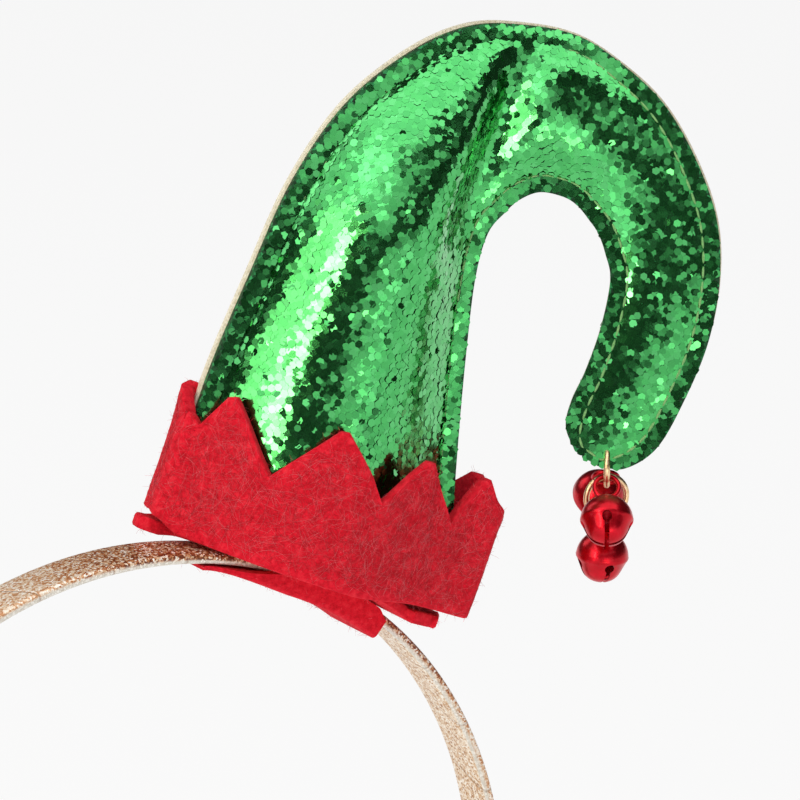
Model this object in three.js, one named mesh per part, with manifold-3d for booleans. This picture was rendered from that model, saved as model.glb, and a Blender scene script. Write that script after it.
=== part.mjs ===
// Elf hat headband: a small stuffed hat of glitter fabric with a hooked tip and three bells,
// on a felt foot glued to one side of a springy headband.
// Millimetres, +Z up, the front faces -Y. The origin is the middle of the band's inner face at
// its crown, where it sits on a head.

import * as THREE from 'three';
import { mergeVertices } from 'three/addons/utils/BufferGeometryUtils.js';
import Module from 'manifold-3d';

const wasm = await Module();
wasm.setup();

const radians = THREE.MathUtils.degToRad;
const clamp = THREE.MathUtils.clamp;
const smooth = THREE.MathUtils.smoothstep;

// Gap left between neighbouring pieces
const CLEAR = 0.3;

// Headband: a flat strip bent to a horseshoe
const BAND_INNER_RADIUS = 63;
const BAND_WIDTH = 8.6;
const BAND_THICK = 2;
const BAND_ARC_HALF = radians(94);
const BAND_LEG = 56;
const BAND_TIP_ROUND = 4;
const BAND_TIP_NARROWEST = 0.3;
const BAND_ARC_STEPS = 56;
const BAND_TIP_STEPS = 4;
const BAND_EDGE_FLAT = 0.55;
const BAND_FACE_FLAT = 0.93;
const BAND_OUTER_RADIUS = BAND_INNER_RADIUS + BAND_THICK;
const BAND_MID_RADIUS = BAND_INNER_RADIUS + BAND_THICK / 2;

// Felt: the strip wrapped under the band, whose sides rise along the band's edges, and the foot of
// the hat, which is bent with the band and hangs free at both ends
const FELT = 2;
const PATCH_FROM = radians(10.5);
const PATCH_TO = radians(43);
const PATCH_POINT = 3;
const PATCH_POINT_NARROWEST = 0.25;
const PATCH_SIDE_RISE = 6;
const PATCH_TIP_THIN = 0.45;
const PATCH_TIP_TAPER = 8;
const PATCH_CORNER = 2.5;
const PATCH_CORNER_SHARE = 0.55;
const PATCH_LEAST_SIDE = 0.1;
const PATCH_ROUND = 0.6;
const PATCH_STEPS = 18;
const BASE_LEFT = -27;
const BASE_RIGHT = 22.5;
const BASE_DROP = 2.9;
const BASE_TAB_DROP = 1.8;
const BASE_TAB_FRONT = 1;
const BASE_TAB_BACK = 4.6;
const BASE_STEPS = 26;
const BASE_COLUMNS = 4;

// Hat: how it sits on the band and how its flat pattern is bent
const HAT_LEAN = radians(23);
const HAT_SHIFT = 6;
const HAT_TWIST = radians(14);
const HOOK_CURL = radians(22);
const CURL_LENGTH = 22;
const FABRIC = 1;
const FLANGE = 2.6;
const FLANGE_SHARE = 0.3;
const CREASE_AT = 6;
const CREASE_HALF_WIDTH = 3.6;
const CREASE_DEPTH = 0.85;
const CREASE_FROM_HEIGHT = 44;
const CREASE_FULL_HEIGHT = 58;
const HAT_FOOT = FELT + CLEAR;
const ROWS_PER_STEP = 2;
const DOME_COLUMNS = 10;

// Flat pattern of a panel, read across from its outer edge to its inner edge, from the foot to the
// tip of the hook: distance right of the middle and height of each edge, then how far the front
// and the back panel bulge between their flanges
const PATTERN_COLUMNS = ['outerAcross', 'outerHeight', 'innerAcross', 'innerHeight', 'front', 'back'];
const PATTERN_ROWS = [
  [-24, 0, 24, 0, 12, 12],
  [-24, 10, 20, 10, 11.5, 11.5],
  [-24, 22, 16.5, 22, 10.5, 10.5],
  [-23, 36, 13, 35.5, 10, 10],
  [-21.5, 51.5, 10.5, 46.5, 9.5, 9],
  [-17.5, 65, 10, 53.5, 8, 7.5],
  [-10.5, 75.5, 11.5, 57.5, 6, 6],
  [-3, 82, 13, 60, 4.5, 4.5],
  [5.5, 85, 15.5, 62, 3.5, 3],
  [13.5, 86, 19, 62.5, 2.5, 2],
  [21.5, 84, 21.5, 62, 2, 1.5],
  [29, 80.5, 24, 60.5, 1.5, 1],
  [36, 74.5, 26, 59, 1, 0.8],
  [42, 67, 28, 56.5, 0.8, 0.7],
  [45.5, 58.5, 30, 53, 0.7, 0.6],
  [47, 49, 31, 46, 0.6, 0.5],
  [46.5, 39.5, 31, 39, 0.4, 0.4],
  [45, 31.5, 30.5, 34, 0.2, 0.2],
  [41.5, 27, 31, 30, 0.1, 0.1],
  [37.5, 26, 33.5, 27, 0, 0],
];
const PATTERN = PATTERN_ROWS.map((row) =>
  Object.fromEntries(PATTERN_COLUMNS.map((name, column) => [name, row[column]])));

// Cuff: a felt strip round the foot of the hat, its upper edge cut to points by hand. Each row is a
// corner of the cut: its distance round from the left end of the front, and its height
const CUFF_CUT = [
  [5.5, 21], [14, 12], [22, 22], [31, 13.5],
  [39, 21.5], [47.5, 13.5], [51.5, 21.5], [58.5, 15.5],
  [64, 21], [72.5, 12.5], [81, 21], [89, 12.5],
  [97, 21], [105, 12.5], [113.5, 21.5], [119, 12.5],
];
const CUFF_GAP = 0.5;
const CUFF_LEVELS = 3;
const CUFF_STATION = 3;
const CUFF_LEFT_RISE = 1;
const CUFF_RISE_FROM = -12;
const CUFF_RISE_TO = -17.5;
const LOOP_SIDE_STEPS = 96;
const LOOP_END_STEPS = 8;

// Bells and jump rings, placed from the hole in the tip: right, back and up as the hook faces
const BELL_RADIUS = 4;
const BELL_WALL = 0.4;
const BELL_TAPER = 0.5;
const BELL_SEGMENTS = 20;
const BELL_PROFILE_STEPS = 8;
const SLOT_WIDTH = 0.7;
const SLOT_TOP = -0.9;
const SLOT_HOLE_RADIUS = 0.75;
const LOOP_RADIUS = 1.83;
const LOOP_WIRE = 0.37;
const LOOP_SINK = 0.55;
const RING_WIRE = 0.47;
const TIP_RING_RADIUS = 2.83;
const BELL_RING_RADIUS = 3.2;
const HOLE_RADIUS = 1.3;
const HOLE_SEGMENTS = 16;
const HOLE_ACROSS = 38;
const HOLE_HEIGHT = 28.8;
const WIRE_SEAT = -0.1;
const LINK_GAP = 0.35;
const BELL_HANG = BELL_RADIUS + 2 * LOOP_RADIUS - LOOP_SINK - RING_WIRE - LINK_GAP;
const BELL_SPLAY = radians(44);
const BELL_RING_TURN = radians(20);
const REAR_LEAN = radians(-10);
const LOW_LEAN = radians(-5);
const RING_STEPS = 28;
const RING_SIDES = 8;
const LOOP_STEPS = 18;
const LOOP_SIDES = 6;
const SLOT_HOLE_SEGMENTS = 10;

// Builds a mesh geometry from points and triangles, turned so that its faces look outward
function solid(points, triangles) {
  let volume = 0;
  for (const [a, b, c] of triangles) {
    volume += points[a].dot(new THREE.Vector3().crossVectors(points[b], points[c]));
  }
  const faces = volume < 0 ? triangles.map(([a, b, c]) => [a, c, b]) : triangles;
  const geometry = new THREE.BufferGeometry();
  const positions = points.flatMap((point) => [point.x, point.y, point.z]);
  geometry.setAttribute('position', new THREE.Float32BufferAttribute(positions, 3));
  geometry.setIndex(faces.flat());
  return geometry;
}

// Joins rings of points into a tube; an open tube gets flat fan ends
function loft(rings, closed) {
  const count = rings[0].length;
  const triangles = [];
  const spans = closed ? rings.length : rings.length - 1;
  for (let ring = 0; ring < spans; ring += 1) {
    const here = ring * count;
    const there = ((ring + 1) % rings.length) * count;
    for (let side = 0; side < count; side += 1) {
      const next = (side + 1) % count;
      triangles.push([here + side, there + side, there + next]);
      triangles.push([here + side, there + next, here + next]);
    }
  }
  if (!closed) {
    const end = (rings.length - 1) * count;
    for (let side = 1; side < count - 1; side += 1) {
      triangles.push([0, side, side + 1]);
      triangles.push([end, end + side + 1, end + side]);
    }
  }
  return solid(rings.flat(), triangles);
}

// Closes two grids of points, the outer and the inner skin of a wall, into one body
function slab(outer, inner) {
  const rows = outer.length;
  const columns = outer[0].length;
  const offset = rows * columns;
  const triangles = [];
  for (let row = 0; row < rows - 1; row += 1) {
    for (let column = 0; column < columns - 1; column += 1) {
      const a = row * columns + column;
      const b = a + 1;
      const c = a + columns + 1;
      const d = a + columns;
      triangles.push([a, b, c], [a, c, d]);
      triangles.push([offset + a, offset + c, offset + b], [offset + a, offset + d, offset + c]);
    }
  }
  const rim = [];
  for (let column = 0; column < columns - 1; column += 1) rim.push(column);
  for (let row = 0; row < rows - 1; row += 1) rim.push(row * columns + columns - 1);
  for (let column = columns - 1; column > 0; column -= 1) rim.push((rows - 1) * columns + column);
  for (let row = rows - 1; row > 0; row -= 1) rim.push(row * columns);
  rim.forEach((here, step) => {
    const next = rim[(step + 1) % rim.length];
    triangles.push([next, here, offset + here], [next, offset + here, offset + next]);
  });
  return solid([...outer.flat(), ...inner.flat()], triangles);
}

// Conversions to and from the boolean kernel
function toManifold(geometry) {
  const bare = geometry.clone();
  bare.deleteAttribute('normal');
  bare.deleteAttribute('uv');
  const merged = mergeVertices(bare);
  const mesh = new wasm.Mesh({
    numProp: 3,
    vertProperties: new Float32Array(merged.getAttribute('position').array),
    triVerts: new Uint32Array(merged.getIndex().array),
  });
  return new wasm.Manifold(mesh);
}

function fromManifold(manifold) {
  const mesh = manifold.getMesh();
  const geometry = new THREE.BufferGeometry();
  geometry.setAttribute('position', new THREE.Float32BufferAttribute(mesh.vertProperties, 3));
  geometry.setIndex(Array.from(mesh.triVerts));
  return geometry;
}

// Headband

// A point of the strip's section: across is -1 to 1 over its width, out is -1 to 1 over its thickness
function bandPoint(angle, past, across, out, width) {
  const radius = BAND_MID_RADIUS + out * BAND_THICK / 2;
  const side = Math.sign(angle);
  const x = radius * Math.sin(angle) + side * past * Math.cos(angle);
  const z = radius * Math.cos(angle) - past * Math.sin(Math.abs(angle)) - BAND_INNER_RADIUS;
  return new THREE.Vector3(x, across * width / 2, z);
}

function bandGeometry() {
  const corner = [[BAND_FACE_FLAT, 1], [1, BAND_EDGE_FLAT], [1, -BAND_EDGE_FLAT], [BAND_FACE_FLAT, -1]];
  const opposite = corner.map(([across, out]) => [-across, -out]);
  const section = [...corner, [0, -1], ...opposite, [0, 1]];
  const stations = [];
  for (let step = 0; step <= BAND_TIP_STEPS; step += 1) {
    const share = step / BAND_TIP_STEPS;
    const rise = BAND_TIP_ROUND * (1 - Math.cos(share * Math.PI / 2));
    const narrow = BAND_TIP_NARROWEST + (1 - BAND_TIP_NARROWEST) * Math.sin(share * Math.PI / 2);
    stations.push({ angle: -BAND_ARC_HALF, past: BAND_LEG - rise, width: BAND_WIDTH * narrow });
  }
  for (let step = 0; step <= BAND_ARC_STEPS; step += 1) {
    const angle = BAND_ARC_HALF * (2 * step / BAND_ARC_STEPS - 1);
    stations.push({ angle, past: 0, width: BAND_WIDTH });
  }
  for (const station of stations.slice(0, BAND_TIP_STEPS + 1).reverse()) {
    stations.push({ ...station, angle: BAND_ARC_HALF });
  }
  return loft(stations.map(({ angle, past, width }) =>
    section.map(([across, out]) => bandPoint(angle, past, across, out, width))), false);
}

// The felt strip glued under the band: a floor along the inner face and two sides along the edges.
// It thins to a point at its left end and is cut straight at its right end
function patchGeometry() {
  const inside = BAND_WIDTH / 2 + CLEAR;
  const outside = inside + FELT;
  const floorTop = BAND_INNER_RADIUS - CLEAR;
  const under = [];
  const over = [];
  for (let step = 0; step <= PATCH_STEPS; step += 1) {
    const angle = PATCH_FROM + (PATCH_TO - PATCH_FROM) * step / PATCH_STEPS;
    const fromLeft = (angle - PATCH_FROM) * floorTop;
    const fromRight = (PATCH_TO - angle) * floorTop;
    const intoPoint = clamp(1 - fromLeft / PATCH_POINT, 0, 1);
    const narrow = PATCH_POINT_NARROWEST + (1 - PATCH_POINT_NARROWEST) * Math.sqrt(1 - intoPoint ** 2);
    const thick = PATCH_TIP_THIN + (1 - PATCH_TIP_THIN) * smooth(fromLeft, 0, PATCH_TIP_TAPER);
    const floorBottom = floorTop - FELT * thick;
    const rise = smooth(fromLeft, PATCH_POINT, PATCH_POINT + PATCH_SIDE_RISE);
    const corner = PATCH_CORNER_SHARE + (1 - PATCH_CORNER_SHARE) * smooth(fromRight, 0, PATCH_CORNER);
    const sideTop = floorTop + PATCH_LEAST_SIDE + (BAND_THICK + CLEAR - PATCH_LEAST_SIDE) * rise * corner;
    const place = ([y, radius]) => new THREE.Vector3(
      radius * Math.sin(angle), y * narrow, radius * Math.cos(angle) - BAND_INNER_RADIUS);
    const mirrored = (half) => [...half, ...half.slice(0, -1).reverse().map(([y, radius]) => [-y, radius])];
    under.push(mirrored([
      [outside, sideTop], [outside, floorBottom + PATCH_ROUND], [outside - PATCH_ROUND, floorBottom],
      [0, floorBottom]]).map(place));
    over.push(mirrored([
      [inside, sideTop], [inside, (sideTop + floorTop) / 2], [inside, floorTop], [0, floorTop]]).map(place));
  }
  return slab(under, over);
}

// Hat

// From the hat's own frame, foot at the origin and axis up, to its place on the band
const hatPlace = new THREE.Matrix4().makeRotationY(HAT_LEAN);
hatPlace.setPosition(new THREE.Vector3(
  (BAND_OUTER_RADIUS + CLEAR) * Math.sin(HAT_LEAN) + HAT_SHIFT * Math.cos(HAT_LEAN),
  0,
  (BAND_OUTER_RADIUS + CLEAR) * Math.cos(HAT_LEAN) - HAT_SHIFT * Math.sin(HAT_LEAN) - BAND_INNER_RADIUS,
));

// Direction of the sheet at a distance across the pattern: it curls forward towards the hook
const heading = (across) => HAT_TWIST + HOOK_CURL * clamp(across / CURL_LENGTH, 0, 1);

// Where a distance across the pattern, raised off the sheet towards the back, lies in plan
function planSpot(across, raise) {
  const radius = CURL_LENGTH / HOOK_CURL;
  const turned = heading(across);
  const straight = across < 0 ? across : Math.max(across - CURL_LENGTH, 0);
  const x = straight * Math.cos(turned) + radius * (Math.sin(turned) - Math.sin(HAT_TWIST));
  const y = -straight * Math.sin(turned) + radius * (Math.cos(turned) - Math.cos(HAT_TWIST));
  return new THREE.Vector2(x + raise * Math.sin(turned), y + raise * Math.cos(turned));
}

// Puts a point of the pattern, raised off the sheet towards the back, in the part's frame
function onSheet(across, height, raise) {
  const plan = planSpot(across, raise);
  return new THREE.Vector3(plan.x, plan.y, HAT_FOOT + height).applyMatrix4(hatPlace);
}

// A row of the pattern at any position along the hat, by a spline through the table
const patternCurves = Object.fromEntries(PATTERN_COLUMNS.map((name) => [
  name,
  new THREE.CatmullRomCurve3(PATTERN.map((row) => new THREE.Vector3(row[name], 0, 0)), false, 'catmullrom'),
]));

function patternRow(along) {
  const share = along / (PATTERN.length - 1);
  return Object.fromEntries(PATTERN_COLUMNS.map((name) => [name, patternCurves[name].getPoint(share).x]));
}

const rowLength = (row) => Math.hypot(row.innerAcross - row.outerAcross, row.innerHeight - row.outerHeight);

// Where the crease between cone and hook presses the front panel in
function crease(across, height) {
  const reach = smooth(height, CREASE_FROM_HEIGHT, CREASE_FULL_HEIGHT);
  return 1 - CREASE_DEPTH * reach * Math.exp(-(((across - CREASE_AT) / CREASE_HALF_WIDTH) ** 2));
}

// Position, bulge and slope of a panel at a distance in from its outer edge
function panelPoint(row, inward, side) {
  const length = rowLength(row);
  const share = inward / length;
  const across = row.outerAcross + share * (row.innerAcross - row.outerAcross);
  const height = row.outerHeight + share * (row.innerHeight - row.outerHeight);
  const flange = Math.min(FLANGE, FLANGE_SHARE * length);
  const domeHalf = length / 2 - flange;
  const fromMiddle = clamp(Math.abs(inward - length / 2) / domeHalf, 0, 1);
  const puff = Math.max(side < 0 ? row.front * crease(across, height) : row.back, 0);
  const slope = fromMiddle < 1 ? 2 * puff * fromMiddle / domeHalf : 0;
  return { across, height, bulge: puff * (1 - fromMiddle ** 2), wall: FABRIC * Math.hypot(1, slope) };
}

function panelGeometry(side) {
  const outer = [];
  const inner = [];
  const rows = (PATTERN.length - 1) * ROWS_PER_STEP;
  for (let step = 0; step <= rows; step += 1) {
    const row = patternRow(step / ROWS_PER_STEP);
    const length = rowLength(row);
    const flange = Math.min(FLANGE, FLANGE_SHARE * length);
    const inwards = [0];
    for (let column = 0; column <= DOME_COLUMNS; column += 1) {
      inwards.push(flange + (length - 2 * flange) * column / DOME_COLUMNS);
    }
    inwards.push(length);
    const points = inwards.map((inward) => panelPoint(row, inward, side));
    inner.push(points.map((p) => onSheet(p.across, p.height, side * (CLEAR / 2 + p.bulge))));
    outer.push(points.map((p) => onSheet(p.across, p.height, side * (CLEAR / 2 + p.bulge + p.wall))));
  }
  const hole = new THREE.CylinderGeometry(HOLE_RADIUS, HOLE_RADIUS, 2 * CURL_LENGTH, HOLE_SEGMENTS);
  const front = onSheet(HOLE_ACROSS, HOLE_HEIGHT, -1);
  const centre = onSheet(HOLE_ACROSS, HOLE_HEIGHT, 0);
  const through = new THREE.Vector3().subVectors(front, centre);
  hole.applyQuaternion(new THREE.Quaternion().setFromUnitVectors(new THREE.Vector3(0, 1, 0), through));
  hole.translate(centre.x, centre.y, centre.z);
  return fromManifold(toManifold(slab(outer, inner)).subtract(toManifold(hole)));
}

// Cuff and foot

// A point of the loop just outside the hat's foot: share runs from its left to its right end, face
// from -1 at the front to 1 at the back
function loopPoint(share, face) {
  const row = patternRow(0);
  const length = rowLength(row);
  const inward = share * (length + 2 * CUFF_GAP) - CUFF_GAP;
  const point = panelPoint(row, clamp(inward, 0, length), face < 0 ? -1 : 1);
  const across = row.outerAcross + inward / length * (row.innerAcross - row.outerAcross);
  return new THREE.Vector2(across, face * (CLEAR / 2 + point.bulge + point.wall + CUFF_GAP));
}

// The loop at equal steps along its front, right end, back and left end, with the distance round
function fineLoop() {
  const fine = [];
  const addRun = (steps, stationOf) => {
    for (let step = 0; step < steps; step += 1) fine.push(stationOf(step / steps));
  };
  addRun(LOOP_SIDE_STEPS, (share) => ({ share, face: -1 }));
  addRun(LOOP_END_STEPS, (share) => ({ share: 1, face: 2 * share - 1 }));
  addRun(LOOP_SIDE_STEPS, (share) => ({ share: 1 - share, face: 1 }));
  addRun(LOOP_END_STEPS, (share) => ({ share: 0, face: 1 - 2 * share }));
  fine.push({ share: 0, face: -1 });
  let round = 0;
  fine.forEach((station, index) => {
    station.spot = loopPoint(station.share, station.face);
    if (index > 0) round += station.spot.distanceTo(fine[index - 1].spot);
    station.round = round;
  });
  return { fine, length: round };
}

// The station at a distance round the loop
function stationAt(fine, round) {
  const index = clamp(fine.findIndex((station) => station.round >= round), 1, fine.length - 1);
  const before = fine[index - 1];
  const after = fine[index];
  const share = (round - before.round) / Math.max(after.round - before.round, Number.EPSILON);
  return { spot: before.spot.clone().lerp(after.spot, share), round };
}

// Height of the cuff's cut edge at a distance round the loop, straight from corner to corner
function cutHeight(round, length) {
  const next = CUFF_CUT.findIndex(([distance]) => distance > round);
  const [afterAt, afterHeight] = next < 0 ? [CUFF_CUT[0][0] + length, CUFF_CUT[0][1]] : CUFF_CUT[next];
  const last = CUFF_CUT[CUFF_CUT.length - 1];
  const before = next > 0 ? CUFF_CUT[next - 1] : last;
  const [beforeAt, beforeHeight] = next === 0 ? [last[0] - length, last[1]] : before;
  return beforeHeight + (afterHeight - beforeHeight) * (round - beforeAt) / (afterAt - beforeAt);
}

// The cuff's stations: every corner of the loop, every corner of the cut, and steps between them
function cuffStations() {
  const { fine, length } = fineLoop();
  const turns = [0, LOOP_SIDE_STEPS, LOOP_SIDE_STEPS + LOOP_END_STEPS, 2 * LOOP_SIDE_STEPS + LOOP_END_STEPS];
  const marks = [...turns.map((index) => fine[index].round), ...CUFF_CUT.map(([distance]) => distance)];
  marks.sort((a, b) => a - b);
  const kept = marks.filter((mark, index) => index === 0 || mark - marks[index - 1] > CLEAR);
  const stations = [];
  kept.forEach((mark, index) => {
    const next = index + 1 < kept.length ? kept[index + 1] : length;
    const parts = Math.max(1, Math.round((next - mark) / CUFF_STATION));
    for (let part = 0; part < parts; part += 1) {
      stations.push(stationAt(fine, mark + (next - mark) * part / parts));
    }
  });
  stations.forEach((station, index) => {
    const before = stations[(index + stations.length - 1) % stations.length].spot;
    const after = stations[(index + 1) % stations.length].spot;
    const along = after.clone().sub(before).normalize();
    station.outer = station.spot.clone().add(new THREE.Vector2(along.y, -along.x).multiplyScalar(FELT));
    station.bottom = CUFF_LEFT_RISE * (1 - smooth(station.spot.x, CUFF_RISE_TO, CUFF_RISE_FROM));
    station.top = cutHeight(station.round, length);
  });
  return stations;
}

// The cuff hangs past the hat's lower edge to the level of the band
function cuffGeometry() {
  const rings = cuffStations().map(({ spot, outer, bottom, top }) => {
    const heights = [];
    for (let level = 0; level <= CUFF_LEVELS; level += 1) {
      heights.push(bottom + (top - bottom) * level / CUFF_LEVELS - HAT_FOOT);
    }
    const outside = heights.map((height) => onSheet(outer.x, height, outer.y));
    const inside = heights.map((height) => onSheet(spot.x, height, spot.y));
    return [...outside, ...inside.reverse()];
  });
  return loft(rings, true);
}

// How far the foot hangs below its highest place, at a distance along the band from there
function baseDrop(distance) {
  const radius = BAND_OUTER_RADIUS + CLEAR;
  const lowest = distance < 0 ? BASE_TAB_DROP : BASE_DROP;
  return Math.min(radius - Math.sqrt(radius ** 2 - distance ** 2), lowest);
}

// The felt foot: inside the cuff where it rides over the band, as wide as the cuff where it has
// dropped below it, and a narrow tab towards the back at its left end
function baseGeometry() {
  const lower = [];
  const upper = [];
  const row = patternRow(0);
  for (let step = 0; step <= BASE_STEPS; step += 1) {
    const across = BASE_LEFT + (BASE_RIGHT - BASE_LEFT) * step / BASE_STEPS;
    const share = (across - row.outerAcross + CUFF_GAP) / (rowLength(row) + 2 * CUFF_GAP);
    const reach = loopPoint(share, 1).y;
    const left = across < 0;
    const clearOfCuff = left ? HAT_FOOT - CUFF_LEFT_RISE : HAT_FOOT;
    const edgeAt = (face) => {
      const tab = face < 0 ? BASE_TAB_FRONT : BASE_TAB_BACK;
      const widest = left ? tab : reach + FELT;
      const drops = [reach, widest].map((raise) => baseDrop(planSpot(across, face * raise).x + HAT_SHIFT));
      const beyond = smooth(Math.min(...drops), clearOfCuff, clearOfCuff + 2 * CLEAR);
      return face * ((reach - CLEAR) * (1 - beyond) + widest * beyond);
    };
    const lowerRow = [];
    const upperRow = [];
    for (let column = 0; column <= BASE_COLUMNS; column += 1) {
      const raise = edgeAt(-1) + (edgeAt(1) - edgeAt(-1)) * column / BASE_COLUMNS;
      const plan = planSpot(across, raise);
      const level = -baseDrop(plan.x + HAT_SHIFT);
      lowerRow.push(new THREE.Vector3(plan.x, plan.y, level).applyMatrix4(hatPlace));
      upperRow.push(new THREE.Vector3(plan.x, plan.y, level + FELT).applyMatrix4(hatPlace));
    }
    lower.push(lowerRow);
    upper.push(upperRow);
  }
  return slab(upper, lower);
}

// Bells and rings

// From the hole's own frame, right, back and up as the hook faces, to the part's frame
const holeCentre = onSheet(HOLE_ACROSS, HOLE_HEIGHT, 0);
const holeAxis = new THREE.Vector3().subVectors(onSheet(HOLE_ACROSS, HOLE_HEIGHT, 1), holeCentre);
const dropPlace = new THREE.Matrix4().makeRotationZ(-Math.atan2(holeAxis.x, holeAxis.y));
dropPlace.setPosition(holeCentre);

// A wire ring standing upright: its centre, and the turn of its axis away from straight back
function ringGeometry(radius, centre, turn) {
  const ring = new THREE.TorusGeometry(radius, RING_WIRE, RING_SIDES, RING_STEPS);
  ring.rotateX(Math.PI / 2);
  ring.rotateZ(turn);
  ring.translate(centre.x, centre.y, centre.z);
  return fromManifold(toManifold(ring.applyMatrix4(dropPlace)));
}

// A bell with its centre at the origin and its loop above: two skins, four slots, one wire loop
function bellSolid() {
  const skin = (radius) => {
    const points = [];
    for (let step = 0; step <= BELL_PROFILE_STEPS; step += 1) {
      const turn = Math.PI * (step / BELL_PROFILE_STEPS - 0.5);
      const below = Math.max(-Math.sin(turn), 0);
      const width = radius * Math.cos(turn) * (1 - BELL_TAPER * below * Math.cos(turn) * (1 - below));
      points.push(new THREE.Vector2(step % BELL_PROFILE_STEPS === 0 ? 0 : width, radius * Math.sin(turn)));
    }
    const lathe = new THREE.LatheGeometry(points, BELL_SEGMENTS);
    return toManifold(lathe.rotateX(Math.PI / 2));
  };
  let bell = skin(BELL_RADIUS).subtract(skin(BELL_RADIUS - BELL_WALL));
  const reach = 3 * BELL_RADIUS;
  for (const turn of [0, Math.PI / 2]) {
    const slot = new THREE.BoxGeometry(reach, SLOT_WIDTH, BELL_RADIUS * 2);
    slot.translate(0, 0, SLOT_TOP - BELL_RADIUS);
    const hole = new THREE.CylinderGeometry(SLOT_HOLE_RADIUS, SLOT_HOLE_RADIUS, reach, SLOT_HOLE_SEGMENTS);
    hole.rotateZ(Math.PI / 2).translate(0, 0, SLOT_TOP);
    bell = bell.subtract(toManifold(slot.rotateZ(turn))).subtract(toManifold(hole.rotateZ(turn)));
  }
  const loop = new THREE.TorusGeometry(LOOP_RADIUS, LOOP_WIRE, LOOP_SIDES, LOOP_STEPS);
  loop.rotateX(Math.PI / 2).translate(0, 0, BELL_RADIUS + LOOP_RADIUS + LOOP_WIRE - LOOP_SINK);
  const cavity = skin(BELL_RADIUS - BELL_WALL);
  return bell.add(toManifold(loop).subtract(cavity));
}

// A bell hung with its loop round a wire: it leaves the wire along outward, and the wire runs along
function bellGeometry(bell, wire) {
  const up = wire.outward.clone().normalize().negate();
  const side = new THREE.Vector3().crossVectors(wire.along, up).normalize();
  const through = new THREE.Vector3().crossVectors(up, side);
  const centre = wire.point.clone().addScaledVector(up, -BELL_HANG);
  const turn = new THREE.Matrix4().makeBasis(side, through, up).setPosition(centre);
  return fromManifold(bell).applyMatrix4(turn).applyMatrix4(dropPlace);
}

// Assembly

const felt = { colour: 0xc8102e, roughness: 0.95, metalness: 0 };
const glitter = { colour: 0x4f9a43, roughness: 0.35, metalness: 0.6 };
const ribbon = { colour: 0xc9a68f, roughness: 0.45, metalness: 0.4 };
const gold = { colour: 0xd9b25f, roughness: 0.25, metalness: 1 };
const redMetal = { colour: 0xc01824, roughness: 0.22, metalness: 0.9 };

const part = new THREE.Group();

function addPiece(name, geometry, look) {
  const material = new THREE.MeshStandardMaterial({
    color: look.colour, roughness: look.roughness, metalness: look.metalness,
  });
  const mesh = new THREE.Mesh(geometry, material);
  mesh.name = name;
  part.add(mesh);
}

addPiece('band', bandGeometry(), ribbon);
addPiece('under_patch', patchGeometry(), felt);
addPiece('base_felt', baseGeometry(), felt);
addPiece('cuff', cuffGeometry(), felt);
addPiece('hat_front', panelGeometry(-1), glitter);
addPiece('hat_back', panelGeometry(1), glitter);

const tipRingCentre = new THREE.Vector3(0, 0, -TIP_RING_RADIUS - WIRE_SEAT);
const bellRingCentre = new THREE.Vector3(
  0, 0, tipRingCentre.z - TIP_RING_RADIUS + 2 * RING_WIRE + LINK_GAP - BELL_RING_RADIUS);
addPiece('tip_ring', ringGeometry(TIP_RING_RADIUS, tipRingCentre, radians(90)), gold);
addPiece('bell_ring', ringGeometry(BELL_RING_RADIUS, bellRingCentre, BELL_RING_TURN), gold);

// A place low on the tip ring, turned back from straight down, for a bell that leans sideways
function tipRingWire(back, lean) {
  const outward = new THREE.Vector3(0, Math.sin(back), -Math.cos(back));
  const point = tipRingCentre.clone().addScaledVector(outward, TIP_RING_RADIUS);
  const along = new THREE.Vector3(0, Math.cos(back), Math.sin(back));
  return { point, along, outward: outward.setX(Math.tan(lean)) };
}

const bell = bellSolid();
const lowWire = {
  point: bellRingCentre.clone().setZ(bellRingCentre.z - BELL_RING_RADIUS),
  along: new THREE.Vector3(Math.cos(BELL_RING_TURN), Math.sin(BELL_RING_TURN), 0),
  outward: new THREE.Vector3(Math.tan(LOW_LEAN), 0, -1),
};
addPiece('bell_1', bellGeometry(bell, tipRingWire(BELL_SPLAY, REAR_LEAN)), redMetal);
addPiece('bell_2', bellGeometry(bell, tipRingWire(-BELL_SPLAY, 0)), redMetal);
addPiece('bell_3', bellGeometry(bell, lowWire), redMetal);

export default part;
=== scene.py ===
# %% [markdown]
# Elf hat headband. The solids of the part come in as a fixed frame, in metres, and every cell
# below dresses one of them: first come the camera, the tools and the light, then the band, the hat
# with its glitter, the felt, and last the rings and bells.

# %% Load the frame
import math

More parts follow.
